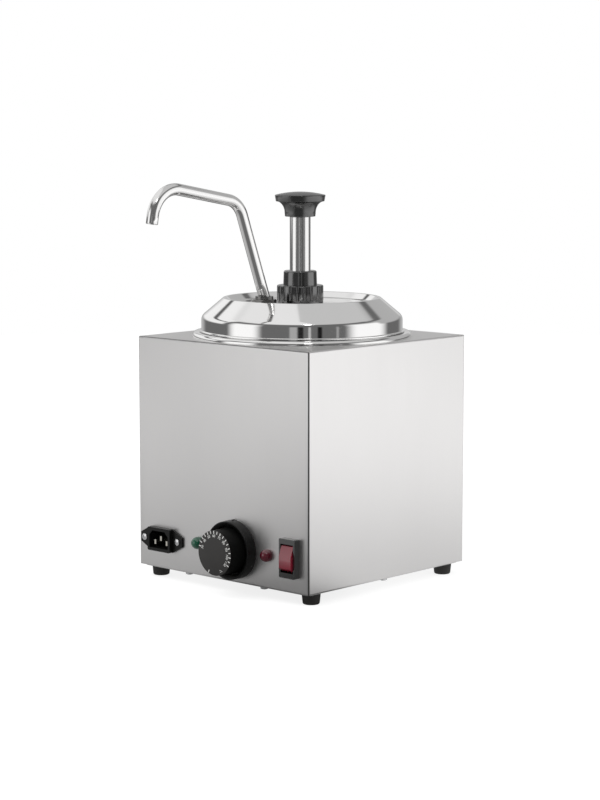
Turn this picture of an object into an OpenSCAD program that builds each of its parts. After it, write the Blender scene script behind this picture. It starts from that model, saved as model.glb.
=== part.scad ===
// Counter-top warmer for hot fudge topping. A folded steel housing carries a heated
// water bath; a lift-out pot hangs in the bath, and its lid carries a plunger pump
// with a bent spout. Millimetres, +Z up, the front faces -Y, and the origin lies on
// the counter under the middle of the housing.

/* [Housing] */
// Width of the housing
body_w = 200; // [196:1:260]
// Depth of the housing
body_d = 200; // [196:1:260]
// Height of the housing above the base plate
body_h = 200; // [190:1:260]
// Thickness of the folded sheet
sheet_t = 0.8; // [0.6:0.1:1.2]
// Outside radius of the folded edges
edge_r = 1.6; // [1.4:0.1:3]
// Width of the flanges folded in round the open bottom
return_w = 12; // [10:1:16]
// Length cut out of those flanges at each corner
return_relief = 30; // [26:1:40]

/* [Base and feet] */
// Thickness of the base plate
base_t = 0.8; // [0.8:0.1:2]
// Edge of the base plate inside the housing's outline
base_margin = 3; // [2:0.5:6]
// Height of a rubber foot
foot_h = 9.2; // [8:0.2:16]
// Diameter of a foot at the base plate
foot_d = 16; // [14:0.5:20]
// Diameter of a foot at the counter
foot_tip_d = 14; // [12:0.5:18]
// Centre of a foot in from the housing's side
foot_inset_x = 11; // [11:1:14]
// Centre of a foot in from the front or back
foot_inset_y = 15; // [12:1:18]
// Diameter of the foot screws
foot_screw_d = 4; // [3:0.5:5]
// Diameter of the screws that hold the base plate
base_screw_d = 3.5; // [3:0.5:4]
// Vent slots in each bank of the base plate
vent_count = 7; // [4:1:9]
// Width of a vent slot
vent_w = 4; // [3:0.5:5]
// Length of a vent slot
vent_l = 46; // [30:1:50]

/* [Water bath] */
// Inside radius of the bath
well_r = 82; // [80:0.5:84]
// Depth of the bath below the housing's top
well_depth = 138; // [134:1:142]
// Wall of the bath
well_t = 0.8; // [0.6:0.1:1]
// Inside radius between the bath's wall and floor
well_corner_r = 12; // [6:1:18]
// Width of the flange that lies on the housing's top
well_flange_w = 10; // [7:0.5:11]
// Thickness of the insulation round the bath
jacket_t = 8; // [5:0.5:10]

/* [Pot] */
// Inside radius of the pot
pot_r = 75.5; // [72:0.5:78]
// Depth of the pot below its rim
pot_depth = 130; // [124:1:134]
// Wall of the pot
pot_t = 0.8; // [0.6:0.1:1]
// Inside radius between the pot's wall and floor
pot_corner_r = 14; // [8:1:20]
// Radius over the pot's rolled rim
rim_r = 95; // [94:0.5:97]
// Height of the rim above the housing's top
rim_h = 4; // [3:0.2:6]
// Radius of the rim's rolled edge
rim_edge_r = 3.2; // [2:0.2:3.6]

/* [Lid] */
// Outside radius of the lid's upright wall
lid_r = 87; // [84:0.5:88]
// Thickness of the lid
lid_t = 1; // [0.8:0.1:1.2]
// Width of the foot turned out at the lid's edge
lid_foot_w = 1.8; // [1:0.1:2.5]
// Height of the shoulder above the lid's seat
lid_shoulder_h = 13; // [10:0.5:16]
// Height of the crest above the lid's seat
lid_h = 29; // [24:0.5:34]
// Radius of the crest
lid_crest_r = 68; // [62:0.5:72]
// Depth of the dished middle below the crest
lid_dish = 5; // [3:0.5:8]
// Radius that rounds the shoulder
lid_shoulder_r = 7; // [3:0.5:10]

/* [Pump] */
// Distance of the pump's axis ahead of the lid's centre
pump_lead = 2.3; // [0:0.1:5]
// Travel of the plunger
stroke = 42; // [30:1:44]
// Diameter of the plunger tube
plunger_d = 18; // [14:0.5:20]
// Wall of the plunger tube
plunger_wall = 1.2; // [1:0.1:2]
// Plunger showing between the guide sleeve and the knob at rest
plunger_show = 46.4; // [45:0.2:60]
// Diameter over the knob's rim
knob_d = 43.8; // [38:0.2:50]
// Diameter of the knob's neck
knob_neck_d = 26.8; // [24:0.2:30]
// Height of the knob
knob_h = 21.2; // [18:0.2:26]
// Height of the upright edge of the knob's rim
knob_rim_h = 5.6; // [3:0.2:8]
// Rise of the knob's crowned top
knob_crown = 2.6; // [1.5:0.1:5]
// Diameter over the collar nut
collar_d = 40; // [38:0.5:46]
// Height of the collar nut
collar_h = 15.8; // [12:0.2:20]
// Flutes round the collar nut
collar_flutes = 20; // [12:1:28]
// Diameter of the guide sleeve
sleeve_d = 29.2; // [28:0.2:32]
// Guide sleeve showing above the collar nut
sleeve_show = 12.4; // [8:0.2:20]
// Bore of the pump cylinder
cylinder_bore = 25; // [23:0.5:26]
// Wall of the pump cylinder
cylinder_wall = 1.5; // [1:0.1:2]
// Gap between the pump's inlet and the pot's floor
inlet_gap = 4; // [3:0.5:10]
// Height of the valve body
valve_h = 24; // [22:0.5:30]
// Diameter of the inlet ball
inlet_ball_d = 12; // [11:0.5:13]
// Diameter of the outlet ball
outlet_ball_d = 8; // [8:0.1:9]
// Lift of the inlet ball
inlet_lift = 2; // [1:0.1:2]
// Lift of the outlet ball
outlet_lift = 3; // [1:0.1:3]
// Wire of the return spring
spring_wire = 1.4; // [1:0.1:1.6]
// Turns of the return spring
spring_turns = 8; // [6:1:9]

/* [Spout] */
// Distance of the spout's foot ahead of the lid's centre
spout_lead = 47; // [45:0.5:52]
// Outside diameter of the spout
spout_d = 9.8; // [8:0.2:10]
// Wall of the spout and of the riser tube
spout_wall = 1.1; // [0.8:0.1:1.4]
// Length of the spout's upright foot, inside its nut
spout_socket = 7.5; // [6:0.5:10]
// Lean of the lower length away from upright
spout_lean = 20.8; // [0:0.2:30]
// Lower length, from bend to bend
spout_riser_l = 87; // [60:0.2:120]
// Rise of the upper length above level
spout_rise = 9.8; // [0:0.2:20]
// Upper length, from bend to bend
spout_run_l = 95.4; // [70:0.2:140]
// Lean of the tip away from upright
spout_tip_lean = 10; // [0:0.5:30]
// Length of the tip from the last bend
spout_tip_l = 31.6; // [28:0.2:60]
// Bend radius at the foot
spout_foot_bend = 12; // [10:1:20]
// Bend radius between the two lengths
spout_top_bend = 21; // [14:1:30]
// Bend radius at the tip
spout_tip_bend = 25; // [16:1:28]

/* [Controls] */
// Inlet socket, left of the middle
inlet_x = -71; // [-72:0.5:-66]
// Inlet socket above the housing's bottom
inlet_z = 25.5; // [22:0.5:40]
// Power lamp, left of the middle
power_lamp_x = -27; // [-29:0.5:-26]
// Thermostat dial, right of the middle
dial_x = 15.5; // [12:0.5:18]
// Heating lamp, right of the middle
heat_lamp_x = 54; // [50:0.5:58]
// Rocker switch, right of the middle
switch_x = 81; // [78:0.1:84]
// Dial, lamps and switch above the housing's bottom
control_z = 28; // [27:0.5:40]
// Height of the rocker switch, from the bottom of the housing
switch_z = 29.4; // [27:0.2:40]
// Diameter of a lamp lens
lamp_d = 10.5; // [9:0.5:14]
// Diameter of the dial's bezel
bezel_d = 50; // [48:0.5:56]
// Height of the bezel off the panel
bezel_h = 10; // [6:0.5:12]
// Diameter of the dial's face
dial_d = 37; // [35:0.5:38]
// Height of the dial's face off the panel
dial_h = 23.5; // [18:0.5:28]
// Width of the switch frame
switch_w = 17.6; // [16:0.5:19]
// Height of the switch frame
switch_h = 32.5; // [30:0.5:36]
// Height of the switch frame off the panel
switch_proud = 6; // [5:0.5:8]
// Half of the rocker's throw, in degrees
rocker_tilt = 10; // [6:0.5:12]

/* [Heater] */
// Radius of the heating ring
heater_r = 52; // [48:1:58]
// Diameter of the heating tube
heater_d = 8; // [6:0.5:8]
// Diameter of the thermostat's sensing bulb
bulb_d = 6; // [5:0.5:6.5]
// Length of the sensing bulb
bulb_l = 54; // [40:1:60]

/* [Hidden] */
$fn = 64;

// Cuts run this far past the faces they open
over = 1;
// Play between a round piece and the hole of its own assembly
fit = 0.05;
// Play round a piece that only passes through a hole
pass = 0.4;

// Levels, from the counter up
z_body = foot_h + base_t;
z_deck = z_body + body_h;
z_well = z_deck - well_depth;
z_seat = z_deck + rim_h;
z_pot = z_seat - pot_depth;
z_dish = z_seat + lid_h - lid_dish;
z_collar = z_dish + collar_h;
z_sleeve = z_collar + sleeve_show;
z_knob = z_sleeve + plunger_show;
z_valve = z_pot + inlet_gap;
z_under = z_dish - lid_t;

// Housing
in_r = edge_r - sheet_t;
well_bend_r = 2;
well_hole_r = well_r + well_t + well_bend_r;
base_screw_x = body_w / 2 - return_w / 2;
base_screw_y = body_d / 2 - return_w / 2;
vent_gap = 11;
vent_pitch = 2.2 * vent_w;
vent_y = body_d / 6;
foot_seat = 0.55 * foot_h;
foot_x = body_w / 2 - foot_inset_x;
foot_y = body_d / 2 - foot_inset_y;

// Pot and lid
rim_bead_r = lid_r - lid_t - 2.7;

// Pump
plunger_r = plunger_d / 2;
cylinder_r = cylinder_bore / 2;
gasket_t = 1;
sleeve_flange_t = 3;
sleeve_flange_r = sleeve_d / 2 + 4.4;
z_flange = z_under - gasket_t - sleeve_flange_t;
spigot_l = 10;
z_chamber = z_valve + 4;
z_port = z_chamber + 4;
z_outlet_seat = z_chamber + 8;
arm_w = 16;
port_d = 6;
riser_d = spout_d + 0.2;
riser_wall = spout_wall + 0.1;

// Each ball rests on its seat, and lifts until it meets the cage or the riser's turned-in end
inlet_seat_r = inlet_ball_d / 2 - 1.5;
outlet_seat_r = outlet_ball_d / 2 - 1;
riser_stop_r = outlet_ball_d / 2 - 0.8;
z_inlet_ball = z_chamber + leg(inlet_ball_d / 2, inlet_seat_r) + fit;
z_cage = z_inlet_ball + inlet_ball_d / 2 + inlet_lift + fit;
z_outlet_ball = z_outlet_seat + leg(outlet_ball_d / 2, outlet_seat_r) + fit;
z_riser = z_outlet_ball + outlet_lift + leg(outlet_ball_d / 2, riser_stop_r) + fit;
cage_t = 1.5;
bend_seat = 0.3;
bend_step = 0.03;
piston_h = 14;
spring_pack = spring_wire * spring_turns + 4;
z_piston = z_cage + cage_t + spring_pack + stroke;
tie_d = 5;
knob_socket = 4;

// Control panel
panel_in = -sheet_t;
shaft_d = 6;
thermostat_w = 34;
thermostat_l = 30;
thermostat_screw_gap = 28;
inlet_flange_w = 50.5;
inlet_flange_h = 20.4;
inlet_block_w = 27.4;
inlet_flange_t = 2;
inlet_proud = 5.5;
inlet_back = 17;
inlet_screw_gap = 40;
inlet_mouth_w = 23;
inlet_mouth_h = 15;
rocker_r = 11.5;
rocker_w = 13.2;
lamp_stem_r = 4.3;
wire_d = 2.4;
lead_d = 1.6;

// Heater, hung under the bath's floor
z_floor = z_well - well_t;
z_heater = z_floor - heater_d;
heater_gap = 24;
heater_leg = 12;
heater_pin = 6;
clamp_t = 1.5;
stud_d = 5;
stud_l = 20;
clamp_nut_h = 4;
bulb_y = 18;
capillary_d = 2;
cutout_x = 25;
cutout_y = -22;
cutout_h = 17;

// Earth stud on the base plate
earth_x = -body_w / 4;
earth_y = -body_d / 8;
earth_d = 4;

// Backs of the switches, lamps and pins, and the tabs that the wires meet
tab_w = 6.3;
tab_t = 0.8;
lamp_depth = 25;
pin_depth = inlet_back + 8;
thermostat_depth = sheet_t + thermostat_l;
thermostat_tab_x = 9;
thermostat_tab_up = 8;
switch_depth = 20;
switch_tab_x = 4;
switch_tab_up = 9;
pins = [[-7, -2.8], [0, 0.8], [7, -2.8]];
front = -body_d / 2;
neutral_pin = [inlet_x + pins[0].x, front + pin_depth, z_body + inlet_z + pins[0].y];
earth_pin = [inlet_x + pins[1].x, front + pin_depth, z_body + inlet_z + pins[1].y];
live_pin = [inlet_x + pins[2].x, front + pin_depth, z_body + inlet_z + pins[2].y];
switch_back = [switch_x, front + switch_depth + 8, z_body + switch_z];
thermostat_back = [dial_x, front + thermostat_depth + 7, z_body + control_z + thermostat_tab_up];
cutout_end = [cutout_x, cutout_y, z_floor - cutout_h];
wire_run = z_body + 16;

function leg(hypotenuse, other) = sqrt(hypotenuse * hypotenuse - other * other);
function heater_end(side) =
    let (a = 180 + heater_gap / 2 * side)
    [heater_r * cos(a), heater_r * sin(a), z_heater + heater_d / 2 - heater_leg - heater_pin];

function unit(v) = v / norm(v);
function right_of(v) = [v.y, -v.x];

// The points that round the corner q of a path p, q, s to a radius r
function corner(p, q, s, r, steps = 7) =
    r <= 0 ? [q] :
    let (
        a = unit(p - q), b = unit(s - q),
        half = acos(a * b) / 2, sweep = 180 - 2 * half,
        centre = q + unit(a + b) * r / sin(half),
        from = q + a * r / tan(half) - centre,
        to = q + b * r / tan(half) - centre
    )
    [for (i = [0:steps])
        centre + (from * sin((1 - i / steps) * sweep) + to * sin(i / steps * sweep)) / sin(sweep)];

// A path of [r, z, corner radius] points with its corners rounded
function rounded(path) = [
    for (i = [0:len(path) - 1])
        let (p = [path[i].x, path[i].y])
        each i == 0 || i == len(path) - 1 ? [p] :
            corner([path[i - 1].x, path[i - 1].y], p, [path[i + 1].x, path[i + 1].y], path[i].z)
];

// A path moved to its right by t
function shifted(path, t) = [
    for (i = [0:len(path) - 1])
        let (
            before = unit(path[max(i, 1)] - path[max(i, 1) - 1]),
            after = unit(path[min(i + 1, len(path) - 1)] - path[min(i, len(path) - 2)]),
            n = right_of(unit(before + after))
        )
        path[i] + n * t / (n * right_of(before))
];

function reversed(list) = [for (i = [len(list) - 1:-1:0]) list[i]];

// A spun shell: the path is its upper and inner surface, and the sheet lies under it
module spun_sheet(path, t) {
    line = rounded(path);
    rotate_extrude() polygon(concat(line, reversed(shifted(line, t))));
}

module ring(r, bore, h) {
    linear_extrude(h) difference() {
        circle(r = r);
        circle(r = bore);
    }
}

module hexagon(flats, h) cylinder(d = flats / cos(30), h = h, $fn = 6);

module rounded_rect(w, h, r) {
    square([w - 2 * r, h], center = true);
    square([w, h - 2 * r], center = true);
    for (x = [-1, 1], y = [-1, 1])
        translate([x * (w / 2 - r), y * (h / 2 - r)]) circle(r);
}

module rounded_box(w, d, h, r) {
    intersection() {
        linear_extrude(h) rounded_rect(w, d, r);
        rotate([90, 0, 0]) linear_extrude(d, center = true)
            translate([0, h / 2]) rounded_rect(w, h, r);
        rotate([90, 0, 90]) linear_extrude(w, center = true)
            translate([0, h / 2]) rounded_rect(d, h, r);
    }
}

// A screw along +Z with its head's seat at z = 0 and its shank below
module pan_screw(d, l) {
    head_r = d * 0.95;
    head_h = d * 0.6;
    translate([0, 0, -l]) cylinder(d = d, h = l);
    difference() {
        intersection() {
            cylinder(r = head_r, h = head_h);
            translate([0, 0, head_h - 2.2 * head_r]) sphere(r = 2.2 * head_r);
        }
        for (a = [0, 90]) rotate(a)
            translate([0, 0, head_h]) cube([head_r * 1.1, d * 0.2, head_h], center = true);
    }
}

// Local z points out of the front panel and local y points up
module on_panel(x, z) translate([x, -body_d / 2, z_body + z]) rotate([90, 0, 0]) children();

module at_feet() for (x = [-1, 1], y = [-1, 1]) translate([x * foot_x, y * foot_y, 0]) children();

module at_base_screws() {
    for (x = [-1, 1], y = [-1, 1]) translate([x * body_w / 4.5, y * base_screw_y, 0]) children();
    for (x = [-1, 1]) translate([x * base_screw_x, 0, 0]) children();
}

module at_pump() translate([0, -pump_lead, 0]) children();

module at_spout() translate([0, -spout_lead, 0]) children();

// Curved tubes: a smooth curve through the points, and a ring of sides at each step
function curve(points, steps) = [
    for (i = [0:len(points) - 2], j = [0:steps - 1])
        let (
            t = j / steps, n = len(points) - 1,
            a = points[max(i - 1, 0)], b = points[i], c = points[i + 1], d = points[min(i + 2, n)]
        )
        (2 * b + (c - a) * t + (2 * a - 5 * b + 4 * c - d) * t * t + (3 * b - a - 3 * c + d) * t * t * t) / 2,
    points[len(points) - 1]
];

function tangents(path) = [
    for (i = [0:len(path) - 1]) unit(path[min(i + 1, len(path) - 1)] - path[max(i - 1, 0)])
];

function start_side(t) = unit(cross(t, abs(t.z) < 0.9 ? [0, 0, 1] : [1, 0, 0]));

module sweep_tube(path, d, sides = 8) {
    along = tangents(path);
    last = len(path) - 1;
    frames = [
        for (
            i = 0, side = start_side(along[0]);
            i <= last;
            i = i + 1, side = i <= last ? unit(side - along[i] * (side * along[i])) : side
        ) side
    ];
    points = [
        for (i = [0:last], k = [0:sides - 1])
            let (a = 360 * k / sides)
            path[i] + d / 2 * (cos(a) * frames[i] + sin(a) * cross(along[i], frames[i]))
    ];
    walls = [
        for (i = [0:last - 1], k = [0:sides - 1])
            let (a = i * sides + k, b = i * sides + (k + 1) % sides)
            each [[a, a + sides, b], [b, a + sides, b + sides]]
    ];
    first_cap = [for (k = [0:sides - 1]) k];
    last_cap = [for (k = [sides - 1:-1:0]) last * sides + k];
    polyhedron(points, concat(walls, [first_cap, last_cap]));
}

// A wire through the points, whose ends stand square to what they meet, a hair off it
module wire(points, d = wire_d) {
    path = curve(points, 5);
    n = len(points) - 1;
    sweep_tube(concat(
        [points[0] + fit * unit(points[1] - points[0]), points[0] + 0.06 * (points[1] - points[0])],
        [for (i = [1:len(path) - 2]) path[i]],
        [points[n] + 0.06 * (points[n - 1] - points[n]), points[n] + fit * unit(points[n - 1] - points[n])]
    ), d);
}

module housing_shell() {
    inner_w = body_w - 2 * sheet_t;
    inner_d = body_d - 2 * sheet_t;
    color("gainsboro") difference() {
        translate([0, 0, z_body]) rounded_box(body_w, body_d, body_h, edge_r);
        translate([0, 0, z_body + sheet_t])
            rounded_box(inner_w, inner_d, body_h - 2 * sheet_t, in_r);
        // Open bottom inside the flanges, and the relief at their corners
        translate([0, 0, z_body]) {
            cube([body_w - 2 * return_w, body_d - 2 * return_w, 4 * sheet_t], center = true);
            for (x = [-1, 1], y = [-1, 1])
                translate([x * (inner_w - return_relief) / 2, y * (inner_d - return_relief) / 2, 0])
                    cube([return_relief, return_relief, 4 * sheet_t], center = true);
        }
        translate([0, 0, z_deck - over]) cylinder(r = well_hole_r, h = 2 * over);
        translate([0, 0, z_body - over]) at_base_screws() cylinder(d = base_screw_d + fit, h = 3 * over);
        on_panel(inlet_x, inlet_z) {
            linear_extrude(4 * sheet_t, center = true) inlet_outline(inlet_block_w - 2, inlet_flange_h - 2.5);
            for (x = [-1, 1]) translate([x * inlet_screw_gap / 2, 0, 0])
                cylinder(d = 3.4, h = 4 * sheet_t, center = true);
        }
        for (x = [power_lamp_x, heat_lamp_x]) on_panel(x, control_z)
            cylinder(r = lamp_stem_r + fit, h = 4 * sheet_t, center = true);
        on_panel(dial_x, control_z) {
            cylinder(d = shaft_d + 4, h = 4 * sheet_t, center = true);
            for (x = [-1, 1]) translate([x * thermostat_screw_gap / 2, 0, 0])
                cylinder(d = 3.6, h = 4 * sheet_t, center = true);
        }
        on_panel(switch_x, switch_z)
            cube([switch_w - 2, switch_h - 3, 4 * sheet_t], center = true);
    }
}

module base_plate() {
    color("silver") difference() {
        translate([0, 0, foot_h]) linear_extrude(base_t)
            rounded_rect(body_w - 2 * base_margin, body_d - 2 * base_margin, 4);
        translate([0, 0, foot_h - over]) {
            at_feet() cylinder(d = foot_screw_d + fit, h = base_t + 2 * over);
            at_base_screws() cylinder(d = base_screw_d + fit, h = base_t + 2 * over);
            translate([earth_x, earth_y, 0]) cylinder(d = earth_d + fit, h = base_t + 2 * over);
            for (side = [-1, 1], i = [0:vent_count - 1])
                translate([side * (vent_l + vent_gap) / 2, (i - (vent_count - 1) / 2) * vent_pitch + vent_y, 0])
                    linear_extrude(base_t + 2 * over) rounded_rect(vent_l, vent_w, vent_w / 2 - 0.01);
        }
    }
}

module base_screws() {
    color("lightgray") translate([0, 0, foot_h]) at_base_screws()
        rotate([180, 0, 0]) pan_screw(base_screw_d, 6);
}

module rubber_foot(x, y) {
    color([0.1, 0.1, 0.1]) translate([x * foot_x, y * foot_y, 0]) difference() {
        rotate_extrude() polygon(concat(
            [[0, 0]],
            corner([0, 0], [foot_tip_d / 2, 0], [foot_d / 2, foot_h], 1.2),
            [[foot_d / 2, foot_h], [0, foot_h]]
        ));
        translate([0, 0, -over]) cylinder(d = foot_screw_d + fit, h = foot_h + 2 * over);
        translate([0, 0, -over]) cylinder(d = 2.2 * foot_screw_d, h = foot_seat + over);
    }
}

module foot_front_left() rubber_foot(-1, -1);

module foot_front_right() rubber_foot(1, -1);

module foot_rear_left() rubber_foot(-1, 1);

module foot_rear_right() rubber_foot(1, 1);

module foot_screws() {
    color("lightgray") at_feet() {
        translate([0, 0, foot_seat]) rotate([180, 0, 0]) pan_screw(foot_screw_d, z_body + 4 - foot_seat);
        translate([0, 0, z_body]) difference() {
            hexagon(7, 3.2);
            translate([0, 0, -over]) cylinder(d = foot_screw_d + 2 * fit, h = 3.2 + 2 * over);
        }
    }
}

module bath_well() {
    color("lightsteelblue") {
        spun_sheet([
            [0, z_well, 0],
            [well_r, z_well, well_corner_r],
            [well_r, z_deck + well_t, well_bend_r],
            [well_r + well_flange_w, z_deck + well_t, 0]
        ], well_t);
        // Stud under the floor that carries the heater's clamp
        translate([0, 0, z_floor - stud_l]) cylinder(d = stud_d, h = stud_l + well_t / 2);
    }
}

module insulation_jacket() {
    inside = well_r + well_t + 0.5;
    color("khaki") translate([0, 0, z_well + well_corner_r])
        ring(inside + jacket_t, inside, well_depth - well_corner_r - sheet_t - 4);
}

module heating_element() {
    color("dimgray") translate([0, 0, z_heater + heater_d / 2]) {
        rotate(180 + heater_gap / 2) rotate_extrude(angle = 360 - heater_gap)
            translate([heater_r, 0]) circle(d = heater_d);
        for (side = [-1, 1]) rotate(180 + heater_gap / 2 * side) translate([heater_r, 0, 0]) {
            sphere(d = heater_d);
            translate([0, 0, -heater_leg]) cylinder(d = heater_d, h = heater_leg);
            translate([0, 0, -heater_leg - heater_pin]) cylinder(d = 3, h = heater_pin + 1);
        }
    }
}

module heater_clamp() {
    arm = 2 * heater_r + heater_d + 6;
    color("silver") translate([0, 0, z_heater - clamp_t]) difference() {
        linear_extrude(clamp_t) for (a = [0, 90]) rotate(a) rounded_rect(arm, 18, 5);
        translate([0, 0, -over]) cylinder(d = stud_d + 2 * fit, h = clamp_t + 2 * over);
        // Clear of the two terminal legs
        for (side = [-1, 1]) rotate(180 + heater_gap / 2 * side) translate([heater_r, 0, -over])
            cylinder(d = heater_d + 1, h = clamp_t + 2 * over);
    }
}

module clamp_nut() {
    color("lightgray") translate([0, 0, z_heater - clamp_t - clamp_nut_h]) difference() {
        hexagon(1.6 * stud_d, clamp_nut_h);
        translate([0, 0, -over]) cylinder(d = stud_d + 2 * fit, h = clamp_nut_h + 2 * over);
    }
}

module thermostat_body() {
    back = -thermostat_depth;
    color("tan") on_panel(dial_x, control_z) difference() {
        union() {
            translate([0, 0, panel_in - 1.5]) linear_extrude(1.5)
                rounded_rect(thermostat_w + 2, thermostat_w * 0.6, 3);
            translate([0, 0, back]) linear_extrude(thermostat_l - 1.5)
                rounded_rect(thermostat_w, thermostat_w, 4);
            for (x = [-1, 1]) translate([x * thermostat_tab_x, thermostat_tab_up, back - 7]) linear_extrude(8)
                square([tab_w, tab_t], center = true);
            translate([0, -10, back - 5]) cylinder(d = 8, h = 6);
        }
        translate([0, 0, -12]) cylinder(d = shaft_d + 2 * fit, h = 14);
        for (x = [-1, 1]) translate([x * thermostat_screw_gap / 2, 0, -10])
            cylinder(d = 3.5 + 2 * fit, h = 12);
    }
}

module thermostat_screws() {
    color("lightgray") on_panel(dial_x, control_z)
        for (x = [-1, 1]) translate([x * thermostat_screw_gap / 2, 0, 2]) pan_screw(3.5, 8);
}

module thermostat_shaft() {
    color("silver") on_panel(dial_x, control_z) difference() {
        translate([0, 0, -11]) cylinder(d = shaft_d, h = dial_h + 4);
        // Flat that drives the dial
        translate([1.6, -shaft_d, 4]) cube([shaft_d, 2 * shaft_d, dial_h]);
    }
}

module thermostat_dial() {
    base_r = dial_d / 2 + 1.25;
    foot = 2.8;
    face_r = dial_d / 2 - 1.3;
    z_edge = dial_h - 1.5;
    color([0.16, 0.16, 0.16]) on_panel(dial_x, control_z) difference() {
        rotate_extrude() polygon(concat(
            [[0, foot]],
            corner([0, foot], [base_r, foot], [dial_d / 2, z_edge], 0.6),
            corner([base_r, foot], [dial_d / 2, z_edge], [face_r, dial_h], 0.4),
            corner([dial_d / 2, z_edge], [face_r, dial_h], [0, dial_h], 0.4),
            [[0, dial_h]]
        ));
        // Hollow behind the face, round the hub
        translate([0, 0, foot - over]) ring(base_r - 2, 5.5, dial_h - foot - 2 + over);
        difference() {
            translate([0, 0, foot - over]) cylinder(d = shaft_d + 2 * fit, h = dial_h - 6 - foot + over);
            translate([1.6 + fit, -shaft_d, 4.4]) cube([shaft_d, 2 * shaft_d, dial_h]);
        }
    }
}

module dial_bezel() {
    r = bezel_d / 2;
    bore = dial_d / 2 + 2.2;
    color([0.1, 0.1, 0.1]) on_panel(dial_x, control_z) difference() {
        union() {
            rotate_extrude() polygon(concat(
                [[0, 0], [r, 0]],
                corner([r, 0], [r - 0.4, bezel_h], [bore, bezel_h - 2.6], 0.8),
                corner([r - 0.4, bezel_h], [bore, bezel_h - 2.6], [bore, 2], 0.5),
                [[bore, 2], [0, 2]]
            ));
            // Pointed index at the top
            translate([0, r - 1.6, 0]) rotate(90) cylinder(r = 2.2, h = 3, $fn = 3);
        }
        translate([0, 0, -over]) cylinder(d = shaft_d + 4, h = 4);
        for (x = [-1, 1]) translate([x * thermostat_screw_gap / 2, 0, -over]) cylinder(d = 3.6, h = 4);
        translate([-0.4, bore - 1, bezel_h - 2]) cube([0.8, r - bore, 4]);
    }
}

module sensing_bulb() {
    color("darkgoldenrod") translate([-bulb_l / 2, bulb_y, z_floor - bulb_d / 2])
        rotate([0, 90, 0]) cylinder(d = bulb_d, h = bulb_l);
}

module bulb_clip() {
    w = bulb_d + 2 * (0.8 + fit);
    color("silver") for (x = [-1, 1]) translate([x * bulb_l / 3, bulb_y, z_floor]) difference() {
        union() {
            translate([-3, -w / 2, -bulb_d / 2]) cube([6, w, bulb_d / 2]);
            translate([-3, 0, -bulb_d / 2]) rotate([0, 90, 0]) cylinder(d = w, h = 6);
            translate([-3, -w / 2 - 5, -0.8]) cube([6, w + 10, 0.8]);
        }
        translate([-3 - over, 0, -bulb_d / 2]) rotate([0, 90, 0])
            cylinder(d = bulb_d + 2 * fit, h = 6 + 2 * over);
        translate([-3 - over, -bulb_d / 2 - fit, -bulb_d / 2])
            cube([6 + 2 * over, bulb_d + 2 * fit, bulb_d / 2 + over]);
    }
}

module capillary_tube() {
    from = [dial_x, front + thermostat_depth + 5, z_body + control_z - 10];
    bulb = [bulb_l / 2, bulb_y, z_floor - bulb_d / 2];
    color("darkgoldenrod") wire([
        from,
        from + [0, 6, 0],
        from + [14, 20, 4],
        [bulb.x + 16, (from.y + bulb_y) / 2, bulb.z - 16],
        bulb + [20, -8, -8],
        bulb + [10, 0, 0],
        bulb
    ], capillary_d);
}

module thermal_cutout() {
    color("dimgray") translate([cutout_x, cutout_y, z_floor]) {
        translate([0, 0, -10]) cylinder(r = 8, h = 10);
        translate([-12, -4, -0.8]) cube([24, 8, 0.8]);
        for (x = [-1, 1]) translate([x * 4 - tab_t / 2, -tab_w / 2, -cutout_h]) cube([tab_t, tab_w, 8]);
    }
}

module lamp_lens(x, tint) {
    r = lamp_d / 2;
    crown = 4.6;
    rim = 2.4;
    ball = (r * r + crown * crown) / (2 * crown);
    color(tint) on_panel(x, control_z) {
        cylinder(r = r, h = rim);
        translate([0, 0, rim]) intersection() {
            cylinder(r = r, h = crown + 1);
            translate([0, 0, crown - ball]) sphere(r = ball);
        }
        translate([0, 0, -7]) cylinder(r = lamp_stem_r, h = 8);
    }
}

module power_lamp_lens() lamp_lens(power_lamp_x, "seagreen");

module heat_lamp_lens() lamp_lens(heat_lamp_x, "firebrick");

module lamp_bodies() {
    color("whitesmoke") for (x = [power_lamp_x, heat_lamp_x]) on_panel(x, control_z)
        translate([0, 0, -lamp_depth]) cylinder(r = lamp_stem_r - 0.3, h = lamp_depth - 7);
}

module lamp_clips() {
    color("silver") for (x = [power_lamp_x, heat_lamp_x]) on_panel(x, control_z)
        translate([0, 0, panel_in - 0.6]) difference() {
            cylinder(r = lamp_stem_r + 3.5, h = 0.6);
            translate([0, 0, -over]) cylinder(r = lamp_stem_r + fit, h = 3);
            for (a = [0:60:300]) rotate(a) translate([lamp_stem_r, -0.5, -over]) cube([2.2, 1, 3]);
        }
}

module switch_frame() {
    opening_h = 2 * rocker_r + 0.8;
    opening_w = rocker_w + 0.8;
    color([0.08, 0.08, 0.08]) on_panel(switch_x, switch_z) difference() {
        union() {
            linear_extrude(switch_proud) rounded_rect(switch_w, switch_h, 1.2);
            translate([0, 0, -switch_depth]) linear_extrude(switch_depth)
                square([switch_w - 2.4, switch_h - 3.4], center = true);
        }
        translate([0, 0, -8]) linear_extrude(switch_proud + 8 + over)
            square([opening_w, opening_h], center = true);
        // Chamfer round the opening
        translate([0, 0, switch_proud]) rotate([0, 45, 0])
            cube([0.6, opening_h, opening_w * 1.5], center = true);
    }
}

module switch_rocker() {
    peak = switch_proud + 2.6;
    end = switch_proud + 0.4;
    // Switched on: its upper end is pressed in
    color("crimson") on_panel(switch_x, switch_z) rotate([-rocker_tilt, 0, 0])
        rotate([0, 90, 0]) linear_extrude(rocker_w, center = true) intersection() {
            circle(r = rocker_r);
            polygon([[5, -rocker_r], [5, rocker_r], [-end, rocker_r], [-peak, 0], [-end, -rocker_r]]);
        }
}

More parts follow.
